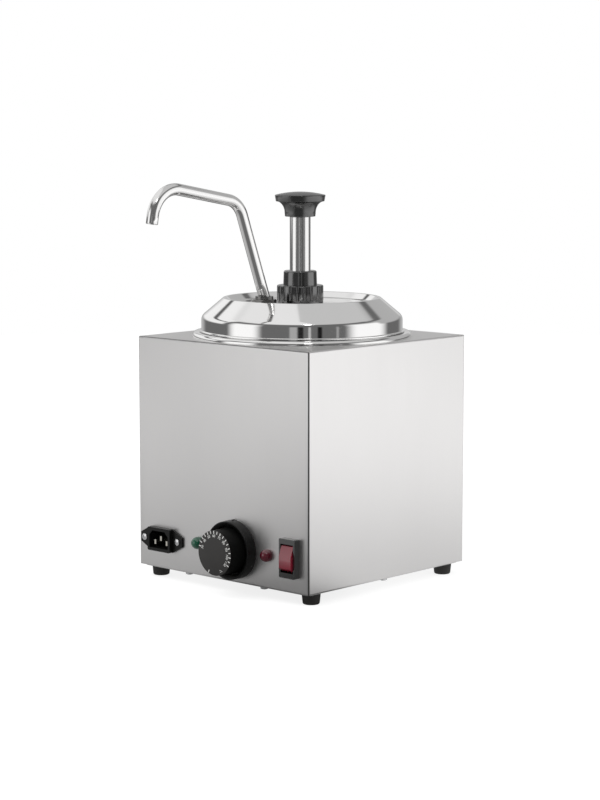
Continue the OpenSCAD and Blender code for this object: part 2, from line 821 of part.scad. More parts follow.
module switch_terminals() {
    color("silver") on_panel(switch_x, switch_z)
        for (x = [-1, 1], y = [-1, 0, 1])
            translate([x * switch_tab_x - tab_t / 2, y * switch_tab_up - tab_w / 2, -switch_depth - 8])
                cube([tab_t, tab_w, 8]);
}

// Rectangle with the two upper corners cut off
module inlet_outline(w, h, cut = 5) {
    polygon([
        [-w / 2, -h / 2], [w / 2, -h / 2], [w / 2, h / 2 - cut],
        [w / 2 - cut, h / 2], [-w / 2 + cut, h / 2], [-w / 2, h / 2 - cut]
    ]);
}

module inlet_body() {
    w = inlet_flange_w / 2;
    h = inlet_flange_h / 2;
    tip = 4;
    color([0.12, 0.12, 0.12]) on_panel(inlet_x, inlet_z) difference() {
        union() {
            linear_extrude(inlet_flange_t) polygon([
                [-inlet_block_w / 2, -h], [inlet_block_w / 2, -h], [w, -tip], [w, tip],
                [inlet_block_w / 2, h], [-inlet_block_w / 2, h], [-w, tip], [-w, -tip]
            ]);
            linear_extrude(inlet_proud) rounded_rect(inlet_block_w, inlet_flange_h, 1.5);
            translate([0, 0, -inlet_back]) linear_extrude(inlet_back)
                inlet_outline(inlet_block_w - 2.4, inlet_flange_h - 2.9);
        }
        translate([0, 0, inlet_proud - 16]) linear_extrude(16 + over)
            inlet_outline(inlet_mouth_w, inlet_mouth_h, 4);
        for (x = [-1, 1]) translate([x * inlet_screw_gap / 2, 0, -over])
            cylinder(d = 3.4, h = inlet_flange_t + 2 * over);
        inlet_blades();
    }
}

module inlet_blades() {
    for (p = pins) translate([p.x - 1, p.y - 2, -pin_depth]) cube([2, 4, pin_depth + inlet_proud - 3]);
}

module inlet_pins() {
    color("gold") on_panel(inlet_x, inlet_z) inlet_blades();
}

module inlet_screws() {
    color("lightgray") on_panel(inlet_x, inlet_z) for (x = [-1, 1])
        translate([x * inlet_screw_gap / 2, 0, 0]) {
            translate([0, 0, inlet_flange_t]) pan_screw(3, 9);
            translate([0, 0, panel_in - 2.4]) difference() {
                hexagon(5.5, 2.4);
                translate([0, 0, -over]) cylinder(d = 3 + 2 * fit, h = 5);
            }
        }
}

module earth_stud() {
    color("lightgray") translate([earth_x, earth_y, z_body]) {
        translate([0, 0, -base_t]) cylinder(d = earth_d, h = 14);
        difference() {
            hexagon(1.75 * earth_d, 3);
            translate([0, 0, -over]) cylinder(d = earth_d + 2 * fit, h = 5);
        }
    }
}

// Live: inlet to switch, switch to thermostat, thermostat to cutout, cutout to heater
module live_wires() {
    switch_in = switch_back + [-switch_tab_x, 0, -switch_tab_up];
    switch_out = switch_back + [-switch_tab_x, 0, switch_tab_up];
    color("saddlebrown") {
        wire([
            live_pin, live_pin + [0, 5, 0], live_pin + [2, 10, -1], [power_lamp_x, thermostat_back.y + 10, wire_run],
            [heat_lamp_x, thermostat_back.y + 10, wire_run], switch_in + [0, 8, 0], switch_in
        ]);
        wire([
            switch_out, switch_out + [0, 6, 0],
            [heat_lamp_x - 12, thermostat_back.y + 12, thermostat_back.z - 2],
            thermostat_back + [thermostat_tab_x + 5, 14, -1],
            thermostat_back + [thermostat_tab_x + 1, 7, 0], thermostat_back + [thermostat_tab_x, 0, 0]
        ]);
        wire([
            thermostat_back + [-thermostat_tab_x, 0, 0], thermostat_back + [-thermostat_tab_x, 7, 0],
            thermostat_back + [1 - thermostat_tab_x, 14, 1],
            cutout_end + [-8, -12, -3], cutout_end + [-4, 0, -6], cutout_end + [-4, 0, 0]
        ]);
        wire([
            cutout_end + [4, 0, 0], cutout_end + [4, 0, -6], [0, 12, cutout_end.z - 9],
            heater_end(-1) + [12, 2, -7], heater_end(-1) + [0, 0, -6], heater_end(-1)
        ]);
    }
}

// Neutral: inlet to switch, switch to heater
module neutral_wires() {
    switch_in = switch_back + [switch_tab_x, 0, -switch_tab_up];
    switch_out = switch_back + [switch_tab_x, 0, switch_tab_up];
    color("steelblue") {
        wire([
            neutral_pin, neutral_pin + [0, 7, 0], [power_lamp_x - 4, thermostat_back.y + 16, wire_run - 5],
            [heat_lamp_x, thermostat_back.y + 16, wire_run - 5], switch_in + [0, 10, 0], switch_in
        ]);
        wire([
            switch_out, switch_out + [0, 8, 0], switch_out + [-1, 16, -1], [heat_lamp_x - 4, -8, wire_run + 6],
            [0, -4, wire_run + 4], heater_end(1) + [10, -2, -10], heater_end(1) + [0, 0, -6], heater_end(1)
        ]);
    }
}

module earth_wire() {
    stud = [earth_x, earth_y, z_body + 8];
    color("yellowgreen") wire([
        earth_pin, earth_pin + [0, 10, 0], [inlet_x, stud.y - 10, stud.z + 14], stud + [-8, -4, 3],
        stud - [(earth_d + wire_d) / 2 + 0.1, 0, 0]
    ]);
}

// Each lamp's live lead meets a tab of the thermostat, and its neutral lead one of the switch
module lamp_leads() {
    beside = (wire_d + lead_d) / 2 + pass;
    power = [power_lamp_x, front + lamp_depth, z_body + control_z];
    heat = [heat_lamp_x, front + lamp_depth, z_body + control_z];
    live_in = thermostat_back + [thermostat_tab_x - beside, 0, 0];
    live_out = thermostat_back + [beside - thermostat_tab_x, 0, 0];
    neutral = switch_back + [switch_tab_x, 0, switch_tab_up];
    color("ivory") {
        wire([
            power + [2, 0, 0], power + [2, 5, 0], thermostat_back + [-25, 12, 6],
            thermostat_back + [-7, 15, 7], live_in + [-2, 9, 3], live_in + [-0.5, 4, 0.5], live_in
        ], lead_d);
        wire([
            heat + [-2, 0, 0], heat + [-2, 6, 0], thermostat_back + [21, 8, 12],
            thermostat_back + [1, 11, 14], live_out + [0.6, 5, 1.2], live_out
        ], lead_d);
        wire([
            heat + [2, 0, 0], heat + [2, 5, 0], heat + [16, 10, 16], neutral + [-6, 13, 7],
            neutral + [0, 6, beside + 0.6], neutral + [0, 0, beside]
        ], lead_d);
        wire([
            power + [-2, 0, 0], power + [-2, 6, 0], power + [7, 29, 18], heat + [-14, 33, 19],
            neutral + [-11, 26, -8], neutral + [-3, 14, -5],
            neutral + [0, 5, -beside - 0.5],
            neutral + [0, 0, -beside]
        ], lead_d);
    }
}

module food_pot() {
    color("silver") spun_sheet([
        [0, z_pot, 0],
        [pot_r, z_pot, pot_corner_r],
        [pot_r, z_seat, 2.4],
        // Bead that centres the lid
        [rim_bead_r - 2.2, z_seat, 1],
        [rim_bead_r, z_seat + 1.5, 1],
        [rim_bead_r + 2.2, z_seat, 1],
        [rim_r, z_seat, rim_edge_r],
        [rim_r, z_deck, 0]
    ], pot_t);
}

module lid() {
    z_crest = z_seat + lid_h;
    color("whitesmoke") difference() {
        spun_sheet([
            [0, z_dish, 0],
            [lid_crest_r - lid_dish - 3, z_dish, 4],
            [lid_crest_r - 2.6, z_crest, 1.6],
            [lid_crest_r, z_crest, 1.6],
            [lid_r, z_seat + lid_shoulder_h, lid_shoulder_r],
            [lid_r, z_seat + lid_t, 0.8],
            [lid_r + lid_foot_w, z_seat + lid_t, 0]
        ], lid_t);
        at_pump() translate([0, 0, z_under - over])
            cylinder(d = sleeve_d + pass, h = lid_t + 2 * over);
        at_spout() translate([0, 0, z_under - over])
            cylinder(d = 12 + pass, h = lid_t + 2 * over);
    }
}

module collar_nut() {
    plain = 3;
    flute_r = 1.5;
    color([0.08, 0.08, 0.08]) at_pump() difference() {
        rotate_extrude() polygon(concat(
            [[sleeve_d / 2 + fit, z_dish]],
            corner([0, z_dish], [collar_d / 2, z_dish], [collar_d / 2, z_collar], 0.6),
            corner([collar_d / 2, z_dish], [collar_d / 2, z_collar], [0, z_collar], 1.2),
            [[sleeve_d / 2 + fit, z_collar]]
        ));
        for (i = [0:collar_flutes - 1]) rotate(360 * i / collar_flutes)
            translate([collar_d / 2 + 0.35 * flute_r, 0, z_dish + plain])
                cylinder(r = flute_r, h = collar_h, $fn = 24);
    }
}

module guide_sleeve() {
    r = sleeve_d / 2;
    bore = plunger_r + 0.08;
    spigot_r = cylinder_r - fit;
    color([0.06, 0.06, 0.06]) at_pump() rotate_extrude() polygon([
        [bore, z_flange - spigot_l], [spigot_r, z_flange - spigot_l], [spigot_r, z_flange],
        [sleeve_flange_r, z_flange], [sleeve_flange_r, z_flange + sleeve_flange_t],
        [r, z_flange + sleeve_flange_t], [r, z_collar], [r - 0.4, z_sleeve - 1],
        [r - 1.4, z_sleeve], [bore + 0.8, z_sleeve], [bore, z_sleeve - 0.8]
    ]);
}

module sleeve_gasket() {
    color("white") at_pump() translate([0, 0, z_under - gasket_t])
        ring(sleeve_flange_r, sleeve_d / 2 + fit, gasket_t);
}

module pump_cylinder() {
    color("lightgray") at_pump() translate([0, 0, z_cage])
        ring(cylinder_r + cylinder_wall, cylinder_r, z_flange - z_cage);
}

// Foot of the pump: the inlet valve under the cylinder and the outlet valve under the riser
module valve_body() {
    barrel_r = cylinder_r + cylinder_wall + 3;
    boss_r = riser_d / 2 + 3.5;
    reach = spout_lead - pump_lead;
    boss_top = z_riser + 6;
    color("gray") difference() {
        union() {
            at_pump() rotate_extrude() polygon(concat(
                [[0, z_valve]],
                corner([0, z_valve], [barrel_r, z_valve], [barrel_r, z_valve + valve_h], 5),
                [[barrel_r, z_valve + valve_h], [0, z_valve + valve_h]]
            ));
            translate([-arm_w / 2, -spout_lead, z_valve + 1]) cube([arm_w, reach, z_outlet_seat - z_valve]);
            at_spout() translate([0, 0, z_valve + 1]) cylinder(r = boss_r, h = boss_top - z_valve - 1);
        }
        at_pump() {
            translate([0, 0, z_valve - over]) cylinder(r = inlet_seat_r, h = 6);
            translate([0, 0, z_chamber]) cylinder(d = inlet_ball_d + 2, h = valve_h);
            translate([0, 0, z_cage]) cylinder(r = cylinder_r + cylinder_wall + fit, h = valve_h);
        }
        translate([0, -spout_lead, z_port]) rotate([-90, 0, 0]) cylinder(d = port_d, h = reach - 3);
        at_spout() {
            translate([0, 0, z_port]) cylinder(r = outlet_seat_r, h = 8);
            translate([0, 0, z_outlet_seat]) cylinder(d = outlet_ball_d + 2, h = boss_top);
            translate([0, 0, z_riser]) cylinder(d = riser_d + 2 * fit, h = boss_top);
        }
    }
}

module inlet_cage() {
    slot_w = 3;
    color("silver") at_pump() translate([0, 0, z_cage]) difference() {
        cylinder(r = cylinder_r - fit, h = cage_t);
        for (i = [0:3]) rotate(45 + 90 * i) translate([2.4, -slot_w / 2, -over])
            cube([4.2, slot_w, cage_t + 2 * over]);
    }
}

module riser_tube() {
    top = z_under - 0.4;
    r = riser_d / 2;
    color("silver") at_spout() rotate_extrude() polygon([
        [r, z_riser], [r, top], [r - riser_wall, top], [r - riser_wall, z_riser + 2.4],
        [riser_stop_r, z_riser + 1.6], [riser_stop_r, z_riser]
    ]);
}

// Threaded stub through the lid that joins the riser to the spout
module outlet_fitting() {
    top = z_dish + 5.6;
    web = z_under - 0.2;
    color("silver") at_spout() difference() {
        union() {
            translate([0, 0, z_under - gasket_t - 2.5]) cylinder(r = 9, h = 2.5);
            translate([0, 0, z_under - gasket_t]) cylinder(r = 6, h = top - z_under + gasket_t);
        }
        translate([0, 0, z_under - 10]) cylinder(d = spout_d - 2 * spout_wall, h = 30);
        translate([0, 0, web - 10]) cylinder(d = riser_d + 2 * fit, h = 10);
        translate([0, 0, z_dish + 0.5 - bend_seat - fit]) cylinder(d = spout_d + 2 * fit, h = 10);
    }
}

module outlet_gasket() {
    color("white") at_spout() translate([0, 0, z_under - gasket_t]) ring(9, 6 + fit, gasket_t);
}

module spout_nut() {
    flats = 19;
    hex_h = 6;
    color("silver") at_spout() translate([0, 0, z_dish]) difference() {
        union() {
            intersection() {
                hexagon(flats, hex_h);
                // Turned top edge
                cylinder(r1 = flats / 2 + 6, r2 = flats / 2 + 0.4, h = hex_h);
            }
            cylinder(r = 7.6, h = 8.6);
        }
        translate([0, 0, -over]) cylinder(r = 6 + fit, h = 7 + over + 0.2);
        cylinder(d = spout_d + 1.3, h = 12);
    }
}

// A straight length of tube along +Z, its ends let a little into the bends, which are
// fuller by bend_step
module straight_tube(r, wall, length) {
    translate([0, 0, -bend_seat]) ring(r, r - wall, length + 2 * bend_seat);
}

// One length of tube, then a bend towards -Y, then whatever follows it
module bend_on(r, wall, length, bend_r, angle) {
    straight_tube(r, wall, length);
    translate([0, -bend_r, length]) {
        rotate([90, 0, 90]) rotate_extrude(angle = angle)
            translate([bend_r, 0]) difference() {
                circle(r = r + bend_step);
                circle(r = r - wall - bend_step);
            }
        rotate([angle, 0, 0]) translate([0, bend_r, 0]) children();
    }
}

module spout_tube() {
    r = spout_d / 2;
    turn_top = 90 - spout_lean - spout_rise;
    turn_tip = 90 + spout_rise - spout_tip_lean;
    lead_foot = spout_foot_bend * tan(spout_lean / 2);
    lead_top = spout_top_bend * tan(turn_top / 2);
    lead_tip = spout_tip_bend * tan(turn_tip / 2);
    color("silver") at_spout() translate([0, 0, z_dish + 0.5])
        bend_on(r, spout_wall, spout_socket - lead_foot, spout_foot_bend, spout_lean)
        bend_on(r, spout_wall, spout_riser_l - lead_foot - lead_top, spout_top_bend, turn_top)
        bend_on(r, spout_wall, spout_run_l - lead_top - lead_tip, spout_tip_bend, turn_tip)
        straight_tube(r, spout_wall, spout_tip_l - lead_tip);
}

module pump_knob() {
    rim_r = knob_d / 2;
    neck_r = knob_neck_d / 2;
    z_crown = z_knob + knob_h - knob_crown;
    z_rim = z_crown - knob_rim_h;
    flare = rim_r - 1 - neck_r;
    flare_h = 1.3 * flare;
    crown_r = (pow(rim_r - 0.8, 2) + pow(knob_crown, 2)) / (2 * knob_crown);
    crown_step = asin((rim_r - 0.8) / crown_r);
    color([0.12, 0.12, 0.12]) at_pump() difference() {
        rotate_extrude() polygon(concat(
            [[0, z_knob]],
            corner([0, z_knob], [neck_r - 0.3, z_knob], [neck_r, z_rim - flare_h], 0.6),
            [for (a = [0:9:81]) [neck_r + flare * (1 - cos(a)), z_rim - flare_h * (1 - sin(a))]],
            corner([neck_r, z_rim], [rim_r - 1, z_rim], [rim_r, z_crown], 0.5),
            corner([rim_r - 1, z_rim], [rim_r, z_crown], [rim_r - 1.6, z_crown + 0.4], 0.7),
            [for (i = [9:-1:0]) let (a = crown_step * i / 10)
                [crown_r * sin(a), z_crown + knob_crown - crown_r * (1 - cos(a))]]
        ));
        translate([0, 0, z_knob - over]) cylinder(r = plunger_r + fit, h = knob_socket + over);
        translate([0, 0, z_knob - over]) cylinder(d = tie_d + 2 * fit, h = knob_h - 6);
    }
}

module plunger_tube() {
    stop_r = cylinder_r - 0.4;
    z_stop = z_flange - spigot_l - 0.2;
    bottom = z_piston + piston_h;
    color("whitesmoke") at_pump() difference() {
        union() {
            translate([0, 0, bottom]) cylinder(r = plunger_r, h = z_knob + knob_socket - bottom);
            // Collar that stops the plunger under the guide sleeve
            translate([0, 0, z_stop - 4]) cylinder(r = stop_r, h = 4);
        }
        translate([0, 0, bottom - over])
            cylinder(r = plunger_r - plunger_wall, h = z_knob + knob_socket - bottom + 2 * over);
    }
}

module tie_rod() {
    color("silver") at_pump() translate([0, 0, z_piston - 5.5])
        cylinder(d = tie_d, h = z_knob + knob_h - 8 - z_piston + 5.5);
}

module piston() {
    r = cylinder_r - 0.3;
    groove_r = cylinder_r - 3;
    color("whitesmoke") at_pump() translate([0, 0, z_piston]) rotate_extrude() polygon([
        [tie_d / 2 + fit, 0], [r - 1, 0], [r, 1], [r, 3], [groove_r, 3], [groove_r, 8],
        [r, 8], [r, piston_h - 1], [r - 1, piston_h], [tie_d / 2 + fit, piston_h]
    ]);
}

// Lip seal in the piston's groove, its lips turned down to the pressure
module piston_seal() {
    groove_r = cylinder_r - 3;
    lip_r = cylinder_r - fit;
    color("dimgray") at_pump() translate([0, 0, z_piston]) rotate_extrude() polygon([
        [groove_r + 0.1, 3.1], [groove_r + 0.9, 3.1], [(groove_r + lip_r) / 2, 5.4],
        [lip_r - 0.8, 3.1], [lip_r, 3.1], [lip_r - 0.2, 7.9], [groove_r + 0.1, 7.9]
    ]);
}

module piston_nut() {
    color("silver") at_pump() translate([0, 0, z_piston - 4]) difference() {
        hexagon(8, 4);
        translate([0, 0, -over]) cylinder(d = tie_d + 2 * fit, h = 4 + 2 * over);
    }
}

// Return spring between the cage and the piston, its end turns closed
module return_spring() {
    coil_r = cylinder_r - 2.4;
    bottom = z_cage + cage_t + spring_wire / 2 + fit;
    top = z_piston - spring_wire / 2 - fit;
    per_turn = 14;
    count = spring_turns * per_turn;
    closed = 1 / spring_turns;
    function lift(t) =
        t < closed ? 0.5 * t * t / closed :
        t > 1 - closed ? 1 - closed - 0.5 * (1 - t) * (1 - t) / closed :
        t - closed / 2;
    path = [
        for (i = [0:count])
            let (t = i / count, a = 360 * spring_turns * t)
            [coil_r * cos(a), coil_r * sin(a), bottom + (top - bottom) * lift(t) / (1 - closed)]
    ];
    color("silver") at_pump() sweep_tube(path, spring_wire);
}

module inlet_ball() {
    color("lightgray") at_pump() translate([0, 0, z_inlet_ball]) sphere(d = inlet_ball_d);
}

module outlet_ball() {
    color("lightgray") at_spout() translate([0, 0, z_outlet_ball]) sphere(d = outlet_ball_d);
}

housing_shell();
base_plate();
base_screws();
foot_front_left();
foot_front_right();
foot_rear_left();
foot_rear_right();
foot_screws();
bath_well();
insulation_jacket();
heating_element();
heater_clamp();
clamp_nut();
thermostat_body();
thermostat_screws();
thermostat_shaft();
thermostat_dial();
dial_bezel();
capillary_tube();
sensing_bulb();
bulb_clip();
thermal_cutout();
power_lamp_lens();
heat_lamp_lens();
lamp_bodies();
lamp_clips();
switch_frame();
switch_rocker();
switch_terminals();
inlet_body();
inlet_pins();
inlet_screws();
earth_stud();
live_wires();
neutral_wires();
earth_wire();
lamp_leads();
food_pot();
lid();
collar_nut();
guide_sleeve();
sleeve_gasket();
pump_cylinder();
valve_body();
inlet_cage();
riser_tube();
outlet_fitting();
outlet_gasket();
spout_nut();
spout_tube();
pump_knob();
plunger_tube();
tie_rod();
piston();
piston_seal();
piston_nut();
return_spring();
inlet_ball();
outlet_ball();
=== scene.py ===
"""Looks of the hot topping warmer.

A folded stainless housing on rubber feet, a round pot with a mirror lid, a plunger pump with a
bent spout, and a panel with an inlet, two lamps, a numbered dial and a rocker switch, dressed
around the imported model. Metres, +Z up, the front faces -Y.
"""

from __future__ import annotations

import logging
import math
from dataclasses import dataclass
from enum import Enum
from typing import Sequence

import bmesh
import bpy
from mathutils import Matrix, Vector

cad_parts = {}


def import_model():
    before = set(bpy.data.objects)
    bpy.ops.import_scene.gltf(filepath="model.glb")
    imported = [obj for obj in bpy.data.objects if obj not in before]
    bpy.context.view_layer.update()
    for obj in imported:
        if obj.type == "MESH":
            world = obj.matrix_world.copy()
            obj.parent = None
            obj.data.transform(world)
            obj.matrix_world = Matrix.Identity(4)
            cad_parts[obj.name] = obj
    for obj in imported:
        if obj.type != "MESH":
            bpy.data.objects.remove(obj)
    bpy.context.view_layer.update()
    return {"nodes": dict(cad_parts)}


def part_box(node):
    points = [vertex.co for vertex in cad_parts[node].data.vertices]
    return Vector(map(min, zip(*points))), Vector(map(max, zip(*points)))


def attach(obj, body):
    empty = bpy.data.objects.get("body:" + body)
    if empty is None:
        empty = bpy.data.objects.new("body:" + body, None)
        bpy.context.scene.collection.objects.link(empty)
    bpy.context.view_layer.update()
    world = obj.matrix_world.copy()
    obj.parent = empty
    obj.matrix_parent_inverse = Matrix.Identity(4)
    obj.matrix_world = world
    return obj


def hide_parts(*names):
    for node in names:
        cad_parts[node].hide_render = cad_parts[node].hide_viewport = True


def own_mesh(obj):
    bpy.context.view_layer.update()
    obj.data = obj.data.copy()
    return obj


MM = 0.001
UP = Vector((0.0, 0.0, 1.0))
FRONT = Vector((0.0, -1.0, 0.0))
RIGHT = Vector((1.0, 0.0, 0.0))
SMOOTH_ANGLE = math.radians(32.0)
BEARING_OF_VIEW = 42.83

log = logging.getLogger("warmer")

Color = tuple[float, float, float]
Path = Sequence[tuple[float, float, float]]


# Finishes


class Grain(Enum):
    """What breaks up a finish when it is seen from close by."""

    ROLLED = "rolled"
    SPUN = "spun"
    DRAWN = "drawn"
    MOULDED = "moulded"
    WOOL = "wool"


class Web:
    """A node tree, with short ways to add and join its nodes."""

    def __init__(self, tree: bpy.types.NodeTree) -> None:
        """Keeps the tree."""
        self.tree = tree

    def add(self, kind: str, **values: object) -> bpy.types.Node:
        """Adds a node and sets its properties or inputs.

        Args:
            kind: The node's type.
            **values: Properties of the node, or inputs by name with _ for a space.

        Returns:
            The new node.
        """
        node = self.tree.nodes.new(kind)
        for key, value in values.items():
            if hasattr(node, key):
                setattr(node, key, value)
            else:
                node.inputs[key.replace("_", " ")].default_value = value
        return node

    def join(self, source: bpy.types.NodeSocket, target: bpy.types.NodeSocket) -> None:
        """Links an output to an input."""
        self.tree.links.new(source, target)

    def ease(self, value: bpy.types.NodeSocket, low: float, high: float) -> bpy.types.NodeSocket:
        """Steps softly from 0 to 1 between two values.

        Args:
            value: What is stepped.
            low: Where the result is 0.
            high: Where the result is 1.

        Returns:
            The step.
        """
        node = self.add("ShaderNodeMapRange", interpolation_type="SMOOTHSTEP", From_Min=low, From_Max=high)
        self.join(value, node.inputs["Value"])
        return node.outputs["Result"]

    def times(self, a: bpy.types.NodeSocket, b: bpy.types.NodeSocket) -> bpy.types.NodeSocket:
        """Multiplies two values."""
        node = self.add("ShaderNodeMath", operation="MULTIPLY")
        self.join(a, node.inputs[0])
        self.join(b, node.inputs[1])
        return node.outputs[0]

    def swap(
        self,
        share: bpy.types.NodeSocket,
        value: bpy.types.NodeSocket | float,
        level: bpy.types.NodeSocket | float,
    ) -> bpy.types.NodeSocket:
        """Goes from one value to another.

        Args:
            share: How much of the second one shows.
            value: The first, a socket or a number.
            level: The second, a socket or a number.

        Returns:
            The mixed value.
        """
        node = self.add("ShaderNodeMix", data_type="FLOAT")
        self.join(share, node.inputs["Factor"])
        for name, item in (("A", value), ("B", level)):
            if isinstance(item, (int, float)):
                node.inputs[name].default_value = item
            else:
                self.join(item, node.inputs[name])
        return node.outputs["Result"]

    def facing(self, place: bpy.types.NodeSocket, bearing: float) -> bpy.types.NodeSocket:
        """Gives the cosine between a flat direction and a bearing.

        Args:
            place: A unit vector that lies flat.
            bearing: In degrees, to the right of the camera's own place.

        Returns:
            The cosine.
        """
        angle = math.radians(bearing + BEARING_OF_VIEW - 90.0)
        node = self.add("ShaderNodeVectorMath", operation="DOT_PRODUCT")
        node.inputs[1].default_value = (math.cos(angle), math.sin(angle), 0.0)
        self.join(place, node.inputs[0])
        return node.outputs["Value"]

    def flattened(self, place: bpy.types.NodeSocket) -> tuple[bpy.types.NodeSocket, bpy.types.NodeSocket]:
        """Lays a vector flat.

        Args:
            place: The vector.

        Returns:
            Its flat direction, and its length.
        """
        flat = self.add("ShaderNodeVectorMath", operation="MULTIPLY")
        flat.inputs[1].default_value = (1.0, 1.0, 0.0)
        self.join(place, flat.inputs[0])
        results = []
        for operation, name in (("NORMALIZE", "Vector"), ("LENGTH", "Value")):
            node = self.add("ShaderNodeVectorMath", operation=operation)
            self.join(flat.outputs[0], node.inputs[0])
            results.append(node.outputs[name])
        return results[0], results[1]


class Graph(Web):
    """The node tree of a material with one Principled shader."""

    def __init__(self, name: str) -> None:
        """Makes the material.

        Args:
            name: The material's name.
        """
        self.material = bpy.data.materials.new(name)
        self.material.use_nodes = True
        super().__init__(self.material.node_tree)
        self.shader = self.tree.nodes["Principled BSDF"]

    def place(self, scale: tuple[float, float, float]) -> bpy.types.NodeSocket:
        """Gives Object coordinates, stretched by a scale."""
        coords = self.add("ShaderNodeTexCoord")
        mapping = self.add("ShaderNodeMapping")
        mapping.inputs["Scale"].default_value = scale
        self.join(coords.outputs["Object"], mapping.inputs["Vector"])
        return mapping.outputs["Vector"]

    def radius(self) -> bpy.types.NodeSocket:
        """Gives the distance from the Z axis, for rings round a spun piece."""
        flat = self.place((1.0, 1.0, 0.0))
        length = self.add("ShaderNodeVectorMath", operation="LENGTH")
        self.join(flat, length.inputs[0])
        return length.outputs["Value"]

    def noise(
        self, place: bpy.types.NodeSocket, scale: float, detail: float, flat: bool = False
    ) -> bpy.types.NodeSocket:
        """Adds noise over a place.

        Args:
            place: Coordinates, or one number if flat.
            scale: Features in a metre.
            detail: Octaves.
            flat: True for noise along one number.

        Returns:
            The noise, from 0 to 1.
        """
        node = self.add("ShaderNodeTexNoise", Scale=scale, Detail=detail)
        if flat:
            node.noise_dimensions = "1D"
            self.join(place, node.inputs["W"])
        else:
            self.join(place, node.inputs["Vector"])
        return node.outputs["Fac"]

    def spread(self, value: bpy.types.NodeSocket, low: float, high: float) -> bpy.types.NodeSocket:
        """Maps noise around its middle to a range.

        Args:
            value: The noise.
            low: Result at 0.3.
            high: Result at 0.7.

        Returns:
            The mapped value.
        """
        node = self.add("ShaderNodeMapRange")
        for name, number in (("From Min", 0.3), ("From Max", 0.7), ("To Min", low), ("To Max", high)):
            node.inputs[name].default_value = number
        self.join(value, node.inputs["Value"])
        return node.outputs["Result"]

    def bump(self, height: bpy.types.NodeSocket, depth: float, strength: float) -> None:
        """Bumps the shader by a height.

        Args:
            height: The height, from 0 to 1.
            depth: Metres from 0 to 1.
            strength: How much of it shows.
        """
        node = self.add("ShaderNodeBump", Strength=strength, Distance=depth)
        self.join(height, node.inputs["Height"])
        self.join(node.outputs["Normal"], self.shader.inputs["Normal"])

    def tint(self, value: bpy.types.NodeSocket, low: Color, high: Color) -> None:
        """Varies the base colour between two colours."""
        ramp = self.add("ShaderNodeValToRGB")
        ramp.color_ramp.elements[0].position = 0.3
        ramp.color_ramp.elements[0].color = (*low, 1.0)
        ramp.color_ramp.elements[1].position = 0.7
        ramp.color_ramp.elements[1].color = (*high, 1.0)
        self.join(value, ramp.inputs["Fac"])
        self.join(ramp.outputs["Color"], self.shader.inputs["Base Color"])


@dataclass(frozen=True)
class Finish:
    """A finish of one kind of piece."""

    name: str
    color: Color
    roughness: float
    grain: Grain
    metallic: float = 0.0
    coat: float = 0.0
    see_through: float = 0.0
    uneven: float = 0.04
    shade: float = 0.06
    ior: float = 1.5
    specular: float = 0.5

    def make(self) -> bpy.types.Material:
        """Builds the material, once."""
        known = bpy.data.materials.get(self.name)
        if known:
            return known
        graph = Graph(self.name)
        sockets = graph.shader.inputs
        sockets["Metallic"].default_value = self.metallic
        sockets["Coat Weight"].default_value = self.coat
        sockets["Coat Roughness"].default_value = 0.05
        sockets["Transmission Weight"].default_value = self.see_through
        sockets["IOR"].default_value = self.ior
        sockets["Specular IOR Level"].default_value = self.specular
        fine, broad, depth, strength = self.texture(graph)
        darker = tuple(c * (1.0 - self.shade) for c in self.color)
        lighter = tuple(min(1.0, c * (1.0 + self.shade)) for c in self.color)
        graph.tint(broad, darker, lighter)
        rough = graph.spread(fine, self.roughness - self.uneven, self.roughness + self.uneven)
        graph.join(rough, sockets["Roughness"])
        graph.bump(fine, depth, strength)
        return graph.material

    def texture(self, graph: Graph) -> tuple[bpy.types.NodeSocket, bpy.types.NodeSocket, float, float]:
        """Adds the grain's fine and broad noise.

        Args:
            graph: The material's nodes.

        Returns:
            The fine noise, the broad noise, the bump's depth in metres and its strength.
        """
        if self.grain is Grain.ROLLED:
            fine = graph.noise(graph.place((900.0, 900.0, 14.0)), 1.0, 4.0)
            broad = graph.noise(graph.place((9.0, 9.0, 2.0)), 1.0, 2.0)
            return fine, broad, 2e-5, 0.12
        if self.grain is Grain.SPUN:
            fine = graph.noise(graph.radius(), 2400.0, 3.0, flat=True)
            broad = graph.noise(graph.place((20.0, 20.0, 20.0)), 1.0, 2.0)
            return fine, broad, 1e-5, 0.10
        if self.grain is Grain.DRAWN:
            fine = graph.noise(graph.place((2600.0, 2600.0, 120.0)), 1.0, 3.0)
            broad = graph.noise(graph.place((60.0, 60.0, 60.0)), 1.0, 2.0)
            return fine, broad, 1e-5, 0.10
        if self.grain is Grain.WOOL:
            fine = graph.noise(graph.place((500.0, 500.0, 160.0)), 1.0, 6.0)
            broad = graph.noise(graph.place((90.0, 90.0, 90.0)), 1.0, 3.0)
            return fine, broad, 8e-4, 0.8
        fine = graph.noise(graph.place((1500.0, 1500.0, 1500.0)), 1.0, 3.0)
        broad = graph.noise(graph.place((60.0, 60.0, 60.0)), 1.0, 2.0)
        return fine, broad, 3e-5, 0.25


